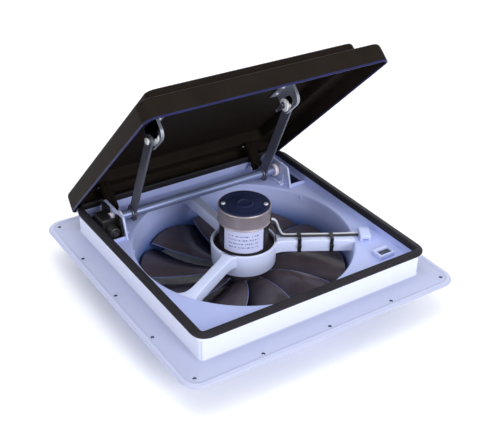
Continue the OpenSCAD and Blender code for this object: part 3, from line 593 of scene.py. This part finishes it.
def screw_hole_places():
    """One hole at each corner of the flange and three along each side."""
    places = [(x, y) for x in (-HOLE_CORNER, HOLE_CORNER) for y in (-HOLE_CORNER, HOLE_CORNER)]
    for a in range(4):
        c, s = math.cos(math.radians(90 * a)), math.sin(math.radians(90 * a))
        for along in (-HOLE_STEP, 0, HOLE_STEP):
            places.append((HOLE_ROW * c - along * s, HOLE_ROW * s + along * c))
    return places


def hinge_ear(x0, x1):
    y, z = HINGE.y, HINGE.z
    outline = [(y - 8, 23.8), (y + 8, 23.8), (y + 8, 26.5)] + arc(y, z, 4.5, 0, 180, 14) + [(y - 8, 26.5)]
    return side_plate([outline, circle2(y, z, 2.05, 20)], (x0 + x1) / 2, x1 - x0, 0.3)


HOLES = screw_hole_places()
cutters = [moved(drum(HOLE_R, -5, 9, 20), at(x, y, 0)) for x, y in HOLES]
for s in (-1, 1):
    cutters.append(loft([well_ring(s, 1.4, 3.4, z) for z in (10, 30)], cap_first=True, cap_last=True))
parts = [cut("roof_base", build_base(), cutters), well(1), well(-1)]
lip = rounded_box(138.2, 166.4, 83.6, 86.2, 22, 28.2, 0.9)
one_side = [lip, hinge_ear(113, 115.5), hinge_ear(132.5, 135)]
parts += [mirrored(part) for part in one_side] + one_side
rib = rounded_box(150.8, 166.0, -1.0, 1.0, -12, 20.9, 0.3)
parts += [moved(rib, turned(22.5 + 45 * k)) for k in range(8)]
base_obj = put("roof_base_detail", *merge(parts), BASE, "base", ("roof_base",), "base_white", 28)
base_obj.data.materials.append(HOLE)
for face in base_obj.data.polygons:
    c = face.center / MM
    if c.z < 4.2 and any((c.x - x) ** 2 + (c.y - y) ** 2 < (HOLE_R + 0.05) ** 2 for x, y in HOLES):
        face.material_index = 1


# ---------------------------------------------------------------- rim seal
def seal_ring(t, z):
    """t runs from the inner edge at 166.5 to the outer edge at 178."""
    return square_ring(166.5 + 11.5 * t, 3.0 + 17 * t, z, rear=166.5 + 8.5 * t, rear_r=3.0 + 26 * t)


seal_profile = (
    (0.0, 35.6), (0.0, 42.6), (0.03, 43.6), (0.10, 44.3), (0.22, 44.5), (0.34, 44.3), (0.40, 43.7),
    (0.46, 43.6), (0.56, 43.7), (0.64, 43.1), (0.70, 42.5), (0.84, 42.4), (0.94, 42.0), (1.0, 41.1),
    (1.0, 39.7), (0.95, 38.9), (0.87, 38.5), (0.26, 38.5), (0.24, 35.2), (0.04, 35.1),
)
put(
    "rim_seal_detail",
    *loft([seal_ring(t, z) for t, z in seal_profile], closed=True),
    SEAL,
    "base",
    ("rim_seal",),
    "seal_black",
    40,
)


# ---------------------------------------------------------------- motor spider
def spider_arm(root):
    """One arm along +X, wider at both ends, with rounded edges. root widens its right side at the deck."""
    r = 1.4
    rings = []
    for k in range(25):
        a = SPIDER_IN + (SPIDER_OUT - SPIDER_IN) * k / 24
        near = 3.4 * math.exp(-(a - 46) / 5.5)
        far = math.exp(-(153 - a) / 6.0)
        left, right = 7.0 + near + 4.2 * far, 7.0 + near + root * far
        top = 23.5 + 0.4 * max(0.0, (a - 148) / 7.4)
        bottom = 5.5 + 2.5 * max(0.0, (a - 140) / 15)
        section = rounded_outline(-right, left, bottom, top, r, 4)
        rings.append([(a, y, z) for y, z in section])
    return loft(rings, cap_first=True, cap_last=True)


cup = revolve(
    [
        (8.0, -10.0), (43.2, -10.0), (44.2, -9.7), (44.7, -8.8), (46.2, 22.0), (46.1, 22.9),
        (45.5, 23.5), (43.4, 23.5), (42.8, 23.2), (42.6, 22.4), (42.4, -5.0), (41.8, -6.6),
        (40.4, -7.1), (8.0, -7.0),
    ],
    n=128,
)
parts = [cup]
for a in ARM_ANGLES:
    parts.append(moved(spider_arm(11.0 if a == 210 else 4.2), turned(a)))
put("motor_spider_detail", *merge(parts), SPIDER_PAINTED_LIGHT, "base", ("motor_spider",), "base_white", 30)

# ---------------------------------------------------------------- fan motor
can = revolve(
    [
        (4.2, -7.0), (41.4, -7.0), (42.2, -6.0), (42.2, 18.6), (41.6, 19.7), (40.4, 20.0), (36.4, 19.8),
        (34.6, 20.2), (34.0, 21.4), (34.0, 48.0), (33.7, 48.4), (33.7, 49.2), (34.0, 49.6),
        (34.0, 57.0), (4.2, 57.0),
    ],
    n=96,
)
put("motor_can_detail", *can, MOTOR_BLACK, "base", ("motor_can",), "motor_black", 30)

bell = revolve(
    [
        (30.0, 57.0), (35.9, 57.0), (36.5, 57.3), (36.8, 58.0), (36.5, 58.8), (35.9, 59.3),
        (35.8, 60.0), (35.8, 76.6), (36.0, 77.4), (36.4, 78.1), (36.5, 79.0), (36.3, 79.9),
        (35.8, 80.5), (35.1, 80.6), (34.75, 80.2), (34.7, 79.0), (30.0, 79.0),
    ],
    n=128,
)
GROMMET_TURN = turned(-40)
bell = cut("bell", bell, [moved(rounded_box(33.6, 42, -5.0, 5.0, 54, 62.2, 1.2), GROMMET_TURN)])
put("motor_end_bell_detail", *bell, MOTOR_SILVER, "base", ("motor_end_bell",), "motor_silver", 30)

cap = revolve(
    [
        (0.02, 81.2), (7.6, 81.2), (8.2, 81.5), (8.6, 82.1), (9.4, 82.3), (11.2, 82.2), (12.0, 81.9),
        (12.6, 81.45), (13.6, 81.35), (24.5, 81.35), (25.0, 81.2), (25.6, 81.2), (26.1, 81.4),
        (33.3, 81.4), (34.2, 81.1), (34.6, 80.4), (34.6, 79.1), (0.02, 79.1),
    ],
    n=96,
    closed=False,
)
put("motor_end_plate_detail", *cap, MOTOR_PLATE, "base", ("motor_end_plate",), "motor_plate", 30)

parts = []
for t in (math.radians(150), math.radians(-37)):
    parts.append(moved(SCREW_PLATE, at(29 * math.cos(t), 29 * math.sin(t), 81.4)))
put("motor_plate_screws_detail", *merge(parts), BRIGHT, "base", ("motor_plate_screws",), "screw_bright")

DOWN = turned(180, "X")
mount_screw = make_screw(3.6, 1.7, 2.0, 6.0)
parts = []
for t in (math.radians(45 + 90 * k) for k in range(4)):
    parts.append(moved(mount_screw, at(20 * math.cos(t), 20 * math.sin(t), -10) @ DOWN))
put("motor_mount_screws_detail", *merge(parts), BRIGHT, "base", ("motor_mount_screws",), "screw_bright")


def build_label():
    """A thin curved band with a UV layer for its marks."""
    n = 48
    half = math.radians(50)
    mid = math.radians(-123.6)
    low, high = 22, 56.6
    verts, uvs = [], []
    rows = ((34.06, 22.2), (34.34, low), (34.42, 22.4), (34.42, 56.2), (34.34, high), (34.06, 56.4))
    for r, z in rows:
        for k in range(n + 1):
            a = mid - half + 2 * half * k / n
            verts.append((r * math.cos(a), r * math.sin(a), z))
            uvs.append((k / n, (z - low) / (high - low)))
    faces = []
    for i in range(len(rows)):
        here, there = i * (n + 1), (i + 1) % len(rows) * (n + 1)
        faces += [(here + k, here + k + 1, there + k + 1, there + k) for k in range(n)]
    faces.append(tuple(i * (n + 1) for i in reversed(range(len(rows)))))
    faces.append(tuple(i * (n + 1) + n for i in range(len(rows))))
    o = put("motor_label_detail", verts, faces, LABEL, "base", ("motor_label",), "label_white", 50)
    layer = o.data.uv_layers.new(name="UVMap")
    for loop in o.data.loops:
        layer.data[loop.index].uv = uvs[loop.vertex_index]


build_label()

grommet = cut("grommet", rounded_box(32.0, 37.4, -4.9, 4.9, 51.2, 61.8, 1.6), [drum(34.05, 40, 70, 96)])
grommet = moved(grommet, GROMMET_TURN)
put("motor_grommet_detail", *grommet, GROMMET, "base", ("motor_grommet",), "grommet_dark")

# ---------------------------------------------------------------- wires, ties, outlet block
ARM_TURN = Matrix.Rotation(WIRE_ARM, 4, "Z")
WZ = 25.25
white_route = [(34.5, -5, 58.5), (38, -5, 58.5), (42, -4, 56), (45, -2, 50), (47, 0, 43)]
white_route += [(50, 3, 35), (53, 6, 28), (58, 7, WZ), (66, 7, WZ), (75, 7, WZ), (90, 7.2, WZ)]
white_route += [(105, 7, WZ), (120, 7, WZ), (135, 7, WZ + 0.2), (148, 7, WZ + 0.6), (162, 7, WZ + 0.6)]
black_route = [(34.5, -8, 54), (37, -8, 54), (41, -7, 51), (44, -5, 44), (47, -2, 36), (50, 1, 30)]
black_route += [(54, 3, 26), (60, 3.4, WZ), (66, 3.4, WZ), (75, 3.4, WZ), (90, 3.2, WZ), (105, 3.4, WZ)]
black_route += [(120, 3.4, WZ), (135, 3.4, WZ + 0.2), (148, 3.4, WZ + 0.6), (162, 3.4, WZ + 0.6)]
white_wire = moved(tube(white_route, WIRE_R), ARM_TURN)
put("wire_white_detail", *white_wire, WIRE_WHITE, "base", ("wire_white",), "wire_white", 60)
black_wire = moved(tube(black_route, WIRE_R), ARM_TURN)
put("wire_black_detail", *black_wire, WIRE_BLACK, "base", ("wire_black",), "wire_black", 60)


def cable_tie(x):
    """A nylon strap round the arm and its wires, with a ratchet head and a cut tail."""
    y0, y1, z0, z1 = -7.2, 8.9, 5.3, 27.1
    rings = []
    for y, z in rounded_outline(y0 - 0.6, y1 + 0.6, z0 - 0.6, z1 + 0.6, 1.8, 6):
        out = Vector((0, y - (y0 + y1) / 2, z - (z0 + z1) / 2)).normalized() * 0.5
        front, back = Vector((x - 2.5, y, z)), Vector((x + 2.5, y, z))
        rings.append([front - out, back - out, back + out, front + out])
    strap = loft(rings, closed=True)
    head = rounded_box(x - 2.7, x + 2.7, y0 - 4.4, y0 - 0.9, 14.2, 19.4, 0.7)
    window = rounded_box(x - 1.5, x + 1.5, y0 - 3.3, y0 - 2.3, 13, 21, 0.2)
    tail = rounded_box(x - 1.5, x + 1.5, y0 - 3.2, y0 - 2.3, 12.2, 23.6, 0.3)
    return merge([strap, cut("tie_head", head, [window]), tail])


ties = moved(merge([cable_tie(77), cable_tie(122)]), ARM_TURN)
put("cable_ties_detail", *ties, TIE, "base", ("cable_ties",), "tie_black")

block = cut(
    "block",
    rounded_box(160, 176, -12, 12, 23.6, 33, 1.8),
    [rounded_box(164, 172, -14, -8, 25.5, 27.9, 0.3)]
    + [moved(drum(1.9, -3, 4, 20), at(160, y, WZ + 0.6) @ TO_X) for y in (7, 3.4)],
)
put("wire_gland_detail", *moved(block, ARM_TURN), WHITE_PAINTED_SHADE, "base", ("wire_gland",), "base_white")

# ---------------------------------------------------------------- rain sensor
SX, SY = 138.5, -132.5
housing = cut(
    "housing",
    rounded_box(SX - 12.5, SX + 12.5, SY - 9.5, SY + 9.5, 23.6, 31, 1.0),
    [rounded_box(SX - 9.6, SX + 10.3, SY - 7.3, SY + 3.6, 26.5, 33, 0.8)],
)
put("sensor_housing_detail", *housing, WHITE_PAINTED_SHADE, "base", ("sensor_housing",), "base_white")
board = [rounded_box(SX - 10.2, SX + 10.2, SY - 7.2, SY + 7.2, 26.4, 28.6, 0.3)]
for k in range(6):
    for y0, y1 in ((-5.8, -0.6), (0.6, 5.8)):
        x = SX - 7.5 + 3.0 * k
        board.append(rounded_box(x - 0.7, x + 0.7, SY + y0, SY + y1, 28.5, 28.9, 0.1))
put("sensor_plate_detail", *merge(board), SENSOR, "base", ("sensor_plate",), "sensor_dark")


# ---------------------------------------------------------------- shaft bearing plates
def bearing_plate():
    """The upright that carries one end of the shaft, with its foot and two gussets."""
    outline = [(81, 23.9), (82.2, 27.7), (89.6, 51.9), (91.6, 54.4), (94.0, 55.0)]
    outline += [(146.5, 55), (148.6, 54.3), (159.3, 43.6), (160, 42), (160, 23.9)]
    up = side_plate([outline, circle2(SHAFT.y, SHAFT.z, 6.1, 40)], 137.5, 3.0, 0.5)
    foot = rounded_box(128, 137, 96, 142, 23.9, 26.5, 0.5)
    rib_a = side_plate([[(98, 26), (104, 26), (98, 40)]], 134.6, 2.0, 0.3)
    rib_b = side_plate([[(138, 26), (132, 26), (138, 40)]], 134.6, 2.0, 0.3)
    return merge([up, foot, rib_a, rib_b])


plate_part = bearing_plate()
put("shaft_plate_right_detail", *plate_part, WHITE_PAINTED_SHADE, "base", ("shaft_plate_right",), "base_white")
put("shaft_plate_left_detail", *mirrored(plate_part), WHITE_PAINTED_SHADE, "base", ("shaft_plate_left",), "base_white")
parts = [moved(SCREW_SMALL, at(x, y, 26.5)) for x in (-132, 132) for y in (103, 135)]
put("shaft_plate_screws_detail", *merge(parts), BRIGHT, "base", ("shaft_plate_screws",), "screw_bright")

pin = moved(soft_drum(1.98, -11.6, 11.6, 0.4, 28), TO_X)
pins = [moved(pin, at(x, HINGE.y, HINGE.z)) for x in (-HINGE_X, HINGE_X)]
put("hinge_pins_detail", *merge(pins), BRIGHT, "base", ("hinge_pins",), "screw_bright")

# ---------------------------------------------------------------- lift gearbox and its motor
cover = [(87, 8), (87, 36), (92.5, 53), (147, 53), (150, 50), (150, 8)]
side = merge([side_plate([cover], -141.4, 3.0, 0.5), rounded_box(-150.5, -142.0, 105, 132, 8, 48, 1.0)])
cradle = [
    moved(drum(10.7, -149.5, -120, 48), at(0, SHAFT.y, SHAFT.z) @ TO_X),
    rounded_box(-149.5, -120, 107.3, 128.7, 40, 60, 0.2),
]
box_parts = [
    side_plate([rounded_outline(104, 133, 6, 50, 4)], -156.5, 14.0, 0.8),
    rounded_box(-163.5, -149.5, 97, 140, 6, 9, 0.5),
    moved(soft_drum(9.2, 0, 1.8, 0.5, 48, 6.2), at(-149.7, SHAFT.y, SHAFT.z) @ TO_X),
    cut("gearbox_side", side, cradle),
]
put("lift_gearbox_detail", *merge(box_parts), GEARBOX, "base", ("lift_gearbox",), "gearbox_black")

motor_profile = [(0.02, 0), (7.5, 0), (8.0, 0.6), (8.0, 13.2), (7.7, 14.2), (6.8, 14.9), (5.0, 15.0)]
motor_profile += [(4.3, 15.2), (4.0, 16.4), (3.4, 17.0), (0.02, 17.0)]
lift_motor = revolve(motor_profile, n=56, closed=False)
vent = rounded_box(-1.3, 1.3, 5.0, 6.6, 12, 17, 0.4)
lift_motor = cut("lift_motor", lift_motor, [moved(vent, turned(90 * k)) for k in range(4)])
lift_motor = moved(lift_motor, at(-151.3, 104, 34) @ turned(90, "X"))
put("lift_motor_detail", *lift_motor, DARK_STEEL, "base", ("lift_motor",), "steel_grey")
parts = [moved(SCREW_SMALL, at(-156.5, y, 9)) for y in (100.7, 136.3)]
put("gearbox_screws_detail", *merge(parts), BRIGHT, "base", ("gearbox_screws",), "screw_bright")


# ---------------------------------------------------------------- lid shell
def build_lid():
    outer = (
        (176.4, 14.0, 43.0, 0.3), (177.1, 14.7, 43.0, 0.1), (177.5, 15.0, 43.5, 0.0),
        (177.5, 15.0, 45.5, 0.0), (177.1, 15.0, 56.0, 0.0), (176.7, 15.0, 64.5, 0.0),
        (176.2, 15.0, 67.2, 0.0), (175.1, 14.6, 69.0, 0.0), (173.4, 13.8, 69.9, 0.0),
        (171.0, 12.8, 70.1, 0.0), (155.4, 9.4, 70.5, 0.0), (154.2, 8.8, 70.8, 0.0),
        (153.4, 8.4, 71.6, 0.0), (153.0, 8.4, 73.0, 0.0), (152.4, 9.0, 82.6, 0.0),
        (152.0, 9.2, 84.6, 0.0), (151.2, 9.4, 85.8, 0.0), (149.8, 9.6, 86.4, 0.0),
        (147.0, 9.6, 86.6, 0.0), (110.0, 9.0, 87.1, 0.0), (60.0, 6.0, 87.6, 0.0), (3.0, 1.0, 87.8, 0.0),
    )
    inner = (
        (3.0, 1.0, 84.8, 0.0), (60.0, 6.0, 84.7, 0.0), (110.0, 9.0, 84.4, 0.0), (145.0, 8.0, 84.1, 0.0),
        (148.6, 7.8, 83.8, 0.0), (149.6, 7.6, 82.8, 0.0), (150.0, 7.4, 80.6, 0.0),
        (150.6, 7.2, 72.4, 0.0), (151.2, 7.2, 69.6, 0.0), (152.4, 7.4, 68.2, 0.0),
        (154.4, 8.0, 67.7, 0.0), (170.0, 11.0, 67.6, 0.0), (173.0, 12.0, 67.0, 0.2),
        (174.4, 12.6, 65.6, 0.3), (174.9, 12.8, 63.0, 0.4), (175.1, 13.0, 45.0, 0.4),
        (175.4, 13.2, 43.4, 0.4),
    )
    rings = [square_ring(h, r, z, rear=h + e) for h, r, z, e in outer + inner]
    n = len(ANGLES)
    verts, faces = loft(rings, closed=True)
    # The loop from the top's middle ring to the inner middle ring is opened and both are capped.
    k = len(outer) - 1
    upper, lower = range(k * n, (k + 1) * n), range((k + 1) * n, (k + 2) * n)
    faces = [f for f in faces if not all(i in upper or i in lower for i in f)]
    faces += [tuple(upper), tuple(reversed(lower))]
    return verts, faces


lid_obj = put("lid_shell_detail", *build_lid(), LID, "lid", ("lid_shell",), "lid_smoke", 30, matrix=LID_OPEN)
# The faces of the skirt's lower rim get the painted bluish highlight.
lid_obj.data.materials.append(LID_RIM_PAINTED_HIGHLIGHT)
LID_CLOSED = LID_OPEN.inverted()
for face in lid_obj.data.polygons:
    if (LID_CLOSED @ (face.center / MM)).z < 44.6:
        face.material_index = 1


# ---------------------------------------------------------------- hinge arms and brackets of the lid
def hinge_arm():
    """A moulded gooseneck from the hinge pin up to the lid's shoulder."""
    y, z = HINGE.y, HINGE.z
    neck = ((-5.2, 5.4), (-6.4, 7.6), (-6.5, 34), (-5.4, 36.6), (-3.5, 37.6), (8, 37.6), (8, 39.6))
    neck += ((-11.5, 39.6), (-11.5, 1.0), (-10.2, -1.6))
    outline = arc(y, z, 3.6, -75, 60, 12) + [(y + dy, z + dz) for dy, dz in neck]
    eye = circle2(y, z, 2.06, 24)
    webs = [side_plate([outline, eye], x, w) for x, w in ((HINGE_X, 5.0), (117.6, 3.2), (130.4, 3.2))]
    back = rounded_box(116.4, 131.6, y - 11.5, y - 9.0, z + 3, z + 39.4, 0.5)
    foot = rounded_box(116.0, 132.0, y - 11.0, y + 8, z + 37.6, z + 39.6, 0.4)
    barrel = moved(soft_drum(3.6, -8, 8, 0.4, 36, 2.06), at(HINGE_X, y, z) @ TO_X)
    return merge([back, foot, barrel] + webs)


arm_part = hinge_arm()
for name, part in (("right", arm_part), ("left", mirrored(arm_part))):
    node = f"hinge_arm_{name}"
    put(node + "_detail", *part, LID, "lid", (node,), "lid_smoke", matrix=LID_OPEN)
screw = moved(SCREW_SMALL, DOWN)
screws = merge([moved(screw, at(x, 159, 65.6)) for x in (-128.5, -119.5, 119.5, 128.5)])
put("hinge_arm_screws_detail", *screws, BRIGHT, "lid", ("hinge_arm_screws",), "screw_bright", matrix=LID_OPEN)

# The bracket's plate in the closed lid: its edges, and the radius of its lower front corner.
BR_Y0, BR_Y1, BR_Z0, BR_Z1, BR_R = -56.0, -10.0, 53.0, 84.1, 14.0


def bracket_outline(inset):
    """The plate's outline in Y and Z, closed lid, moved inwards by inset."""
    y0, y1, z0, z1 = BR_Y0 + inset, BR_Y1 - inset, BR_Z0 + inset, BR_Z1 - 0.1
    pts = arc(BR_Y0 + BR_R, BR_Z0 + BR_R, BR_R - inset, 180, 270, 12)
    return pts + [(y1 - 2, z0), (y1, z0 + 2), (y1, z1), (y0, z1)]


def lid_bracket():
    """A slotted plate with a raised lip along its edge, and a foot under the lid's top."""
    slot = arc(-20.8, 64.03, 8.5, -90, 90, 16) + arc(-32.9, 64.03, 8.5, 90, 270, 16)
    web = side_plate([bracket_outline(0), slot], 104.25, 2.4, 0.4)
    lip = side_plate([bracket_outline(0), bracket_outline(1.6)], 106.2, 2.8, 0.35)
    foot = rounded_box(90.2, 104.8, BR_Y0 + 4, BR_Y1, BR_Z1 - 2.0, BR_Z1, 0.5)
    bend = moved(tube([(0, BR_Y0 + 4.5, 0), (0, BR_Y1 - 0.5, 0)], 1.2, 12, 2), at(103.6, 0, BR_Z1 - 1.8))
    return merge([web, lip, foot, bend])


bracket_part = lid_bracket()
for name, part in (("right", bracket_part), ("left", mirrored(bracket_part))):
    node = f"lid_bracket_{name}"
    put(node + "_detail", *part, STEEL_PALE, "lid", (node,), "steel_grey", matrix=LID_OPEN)
screws = merge([moved(screw, at(x, y, BR_Z1 - 2)) for x in (-96.5, 96.5) for y in (-43, -22)])
put("bracket_screws_detail", *screws, BRIGHT, "lid", ("bracket_screws",), "screw_bright", matrix=LID_OPEN)

# ---------------------------------------------------------------- lift shaft, arms and pins
shaft_profile = [(4.5, -157), (5.6, -157), (6.0, -156.6), (6.0, -60), (6.0, 0), (6.0, 60)]
shaft_profile += [(6.0, 149.6), (5.6, 150), (4.5, 150)]
shaft = moved(revolve(shaft_profile, n=48), Matrix.Translation(SHAFT) @ TO_X)
put("lift_shaft_detail", *shaft, SHAFT_METAL, "lift", ("lift_shaft",), "shaft_bright")
across = at(0, 0, 3) @ turned(90, "X")
collar = cut("collar", soft_drum(9.5, 0, 6, 0.7, 56, 6.05), [moved(drum(1.5, 5, 12, 20), across)])
collar = merge([collar, moved(drum(1.45, 6.2, 8.2, 6), across)])
parts = [moved(collar, at(x, SHAFT.y, SHAFT.z) @ TO_X) for x in (-146, -134.8, 128.8, 140)]
put("shaft_collars_detail", *merge(parts), COLLAR_PAINTED_SHINE, "lift", ("shaft_collars",), "shaft_bright")


def lift_arm():
    """A stamped strip with a hub round the shaft, a pressed rib and an eye for the pin, lying along +Y."""
    w = 8.0
    outline = arc(0, 0, 12, 42, 318, 28) + [(14, -w), (LIFT_LEN - 9, -w)]
    outline += arc(LIFT_LEN, 0, 9, -110, 110, 22) + [(LIFT_LEN - 9, w), (14, w)]
    web = plate([outline, circle2(0, 0, 6.05, 40), circle2(LIFT_LEN, 0, 3.05, 24)], 3.0, 0.5)
    hub = soft_drum(9.5, -3.5, 3.5, 0.6, 48, 6.05)
    eye = soft_drum(7.0, -1.9, 1.9, 0.3, 36, 3.05)
    return moved(merge([web, hub, eye]), YZ @ Matrix.Rotation(math.pi - LIFT_OPEN, 4, "Z"))


arm = lift_arm()
for x, name in ((-LIFT_X, "left"), (LIFT_X, "right")):
    placed = moved(arm, at(x, SHAFT.y, SHAFT.z))
    put(f"lift_arm_{name}_detail", *placed, STEEL, "lift", (f"lift_arm_{name}",), "steel_grey")

head = revolve(
    [
        (0.02, 0.0), (2.2, 0.0), (2.6, 0.2), (2.9, 0.55), (3.4, 0.8), (7.9, 0.8), (8.9, 1.05),
        (9.5, 1.6), (9.5, 2.6), (9.1, 3.2), (3.0, 3.3), (3.0, 14.6), (4.6, 14.7), (5.0, 15.1),
        (4.9, 15.8), (4.2, 16.4), (0.02, 16.6),
    ],
    n=48,
    closed=False,
)
pin_right = moved(head, at(99.2, PIN.y, PIN.z) @ TO_X)
pins = merge([pin_right, mirrored(pin_right)])
put("arm_pins_detail", *pins, ROLLER_PAINTED_BRIGHT, "lift", ("arm_pins",), "shaft_bright")
bush_profile = [(3.02, 102.5), (7.3, 102.5), (7.9, 102.8), (8.0, 103.4), (8.0, 105.4), (7.9, 105.9)]
bush_profile += [(6.6, 106.5), (6.2, 107.0), (6.2, 108.6), (5.9, 109.0), (3.02, 109.0)]
bush = moved(revolve(bush_profile, n=56), at(0, PIN.y, PIN.z) @ TO_X)
put("slide_bushes_detail", *merge([bush, mirrored(bush)]), ROLLER_PAINTED_BRIGHT, "lift", ("slide_bushes",), "bush_white")


def clip():
    """A spring clip over the pin's end: a ring with a tapered tongue and a bent tip."""
    outline = arc(0, 0, 4.8, 55, 305, 20) + [(9, -3.0), (16, -1.9)]
    outline += arc(17.2, 0, 1.9, -80, 80, 8) + [(16, 1.9), (9, 3.0)]
    flat = plate([outline, circle2(0, 0, 1.9, 20)], 1.1, 0.3)
    tip = moved(rounded_box(-0.6, 0.6, -1.8, 1.8, 0, 3.0, 0.4), at(17.6, 0, -3.2))
    route = [(3, -2.2, 0.8), (8, -2.6, 1.1), (14, -1.0, 1.1), (14, 1.0, 1.1), (8, 2.6, 1.1), (3, 2.2, 0.8)]
    return moved(merge([flat, tip, tube(route, 0.5, 10, 5)]), YZ @ turned(-45))


clip_right = moved(clip(), at(98.6, PIN.y, PIN.z))
clips = merge([clip_right, mirrored(clip_right)])
put("pin_clips_detail", *clips, STEEL, "lift", ("pin_clips",), "steel_grey")


# ---------------------------------------------------------------- fan
def blade():
    """One twisted, cambered blade with a swept outline and a finite thickness."""
    nr = 18
    across = [-0.5, -0.487] + [-0.5 + k / 12 for k in range(1, 12)] + [0.487, 0.5]
    n = len(across)
    top, bottom = [], []
    for i in range(nr + 1):
        f = i / nr
        r = BLADE_IN + (BLADE_OUT - BLADE_IN) * f
        chord = 22 + 83 * f**0.8
        pitch = math.radians(30 - 19 * f)
        sweep = 3 + 7 * math.sin(math.pi * f) - 10 * f
        for s in across:
            x = chord * s
            camber = chord * 0.09 * (1 - (2 * s) ** 2)
            thick = 0.35 + 0.75 * (1 - abs(2 * s) ** 6)
            a = (x * math.cos(pitch) - camber * math.sin(pitch) * 0.3 + sweep) / r
            z = x * math.sin(pitch) * 0.86 + camber * math.cos(pitch) - 1.5
            top.append((r * math.cos(a), r * math.sin(a), z + thick))
            bottom.append((r * math.cos(a), r * math.sin(a), z - thick))
    off = len(top)
    faces = []
    for i in range(nr):
        for j in range(n - 1):
            q = (i * n + j, i * n + j + 1, (i + 1) * n + j + 1, (i + 1) * n + j)
            faces += [tuple(reversed(q)), tuple(k + off for k in q)]
        for j in (0, n - 1):
            q = (i * n + j, (i + 1) * n + j, (i + 1) * n + j + off, i * n + j + off)
            faces.append(q if j else tuple(reversed(q)))
    for j in range(n - 1):
        for i in (0, nr):
            q = (i * n + j, i * n + j + 1, i * n + j + 1 + off, i * n + j + off)
            faces.append(tuple(reversed(q)) if i else q)
    return top + bottom, faces


hub = revolve(
    [
        (4.1, -14.0), (27.0, -14.0), (28.8, -14.5), (29.8, -15.8), (30.0, -17.4), (30.0, -37.6),
        (29.5, -38.0), (27.6, -38.0), (27.2, -37.4), (27.0, -19.0), (26.0, -18.0), (9.0, -18.0),
        (8.6, -18.6), (8.4, -27.6), (8.0, -28.0), (4.1, -28.0),
    ],
    n=72,
)
rib = rounded_box(8.0, 27.4, -0.9, 0.9, -35, -17.8, 0.3)
blade_part = moved(blade(), at(0, 0, -27))
parts = [hub] + [moved(rib, turned(60 * k)) for k in range(6)]
parts += [moved(blade_part, turned(360 / BLADES * k)) for k in range(BLADES)]
fan_obj = put("fan_impeller_detail", *merge(parts), FAN, "fan", ("fan_impeller",), "fan_smoke", 40)
# Small edge faces of the blades get the painted blue highlight.
fan_obj.data.materials.append(FAN_EDGE_PAINTED_HIGHLIGHT)
for face in fan_obj.data.polygons:
    c = face.center / MM
    if face.area < EDGE_AREA * MM * MM and c.xy.length > 34 and -46 < c.z < -8:
        face.material_index = 1
put("motor_shaft_detail", *soft_drum(3.98, -32, 8, 0.6, 36), BRIGHT, "fan", ("motor_shaft",), "screw_bright")
nut_profile = [(0.02, -34.5), (6.4, -34.5), (7.5, -33.9), (7.5, -28.8), (6.6, -28.1), (0.02, -28.1)]
nut = cut("nut", revolve(nut_profile, n=6, closed=False), [drum(4.05, -40, -20, 32)])
washer = soft_drum(9.0, -28.2, -27.6, 0.2, 36, 4.1)
put("fan_nut_detail", *merge([nut, washer]), BRIGHT, "fan", ("fan_nut",), "screw_bright")


# ---------------------------------------------------------------- stage
def build_stage():
    """A floor just under the duct that curves up into a wall at the rear. Lengths here are metres."""
    z0, bend_at, bend_r, half = -0.0551, 1.1, 0.8, 5.0
    path = [(-3, z0), (bend_at, z0)]
    for a in (math.radians(d) for d in range(10, 91, 10)):
        path.append((bend_at + bend_r * math.sin(a), z0 + bend_r - bend_r * math.cos(a)))
    path.append((bend_at + bend_r, 4.0))
    c, s = math.cos(math.radians(34)), math.sin(math.radians(34))
    verts = [(x * c + y * s, -x * s + y * c, z) for y, z in path for x in (-half, half)]
    faces = [(2 * i, 2 * i + 1, 2 * i + 3, 2 * i + 2) for i in range(len(path) - 1)]
    me = bpy.data.meshes.new("floor")
    me.from_pydata(verts, [], faces)
    finish_mesh("floor", me, FLOOR, "stage", sharp=60)


build_stage()


def area_light(name, place, target, size, power, colour):
    data = bpy.data.lights.new(name, "AREA")
    data.shape = "RECTANGLE"
    data.size, data.size_y = size
    data.energy = power
    data.color = colour
    o = bpy.data.objects.new(name, data)
    o.location = place
    o.rotation_mode = "QUATERNION"
    o.rotation_quaternion = (Vector(target) - Vector(place)).to_track_quat("-Z", "Y")
    bpy.context.scene.collection.objects.link(o)


area_light("key", (0.2, -2.3, 1.1), (0, 0, 0.05), (1.2, 1.0), 35, (1.0, 1.0, 1.0))
area_light("top", (-0.5, -0.3, 2.4), (0, 0, 0.05), (1.8, 1.6), 26, (0.97, 0.98, 1.0))
area_light("fill", (-2.3, -0.4, 0.7), (0, 0, 0.03), (1.0, 0.8), 9, (1.0, 0.99, 0.96))
area_light("rear", (0.8, 2.2, 1.6), (0, 0, 0.1), (1.6, 1.0), 8, (0.90, 0.93, 1.0))

world = bpy.data.worlds.new("studio")
bpy.context.scene.world = world
world.use_nodes = True
background = world.node_tree.nodes["Background"]
background.inputs["Color"].default_value = (0.92, 0.95, 1.0, 1)
background.inputs["Strength"].default_value = 0.75
bpy.context.scene.view_settings.view_transform = "Standard"

cam = bpy.data.cameras.new("view")
cam.lens = 67.2
cam.sensor_width = 36
cam.clip_start, cam.clip_end = 0.05, 20
cam_obj = bpy.data.objects.new("view", cam)
bpy.context.scene.collection.objects.link(cam_obj)
eye = Vector((-0.6013, -0.9039, 0.7261))
look = Vector((0.4784, 0.7082, -0.5192)).normalized()
side = look.cross(Vector((0, 0, 1))).normalized()
up = side.cross(look)
roll = math.radians(1.35)
right = side * math.cos(roll) + up * math.sin(roll)
up = right.cross(look)
basis = Matrix((right, up, -look)).transposed()
cam_obj.matrix_world = Matrix.Translation(eye) @ basis.to_4x4()
bpy.context.scene.camera = cam_obj

bpy.context.view_layer.update()
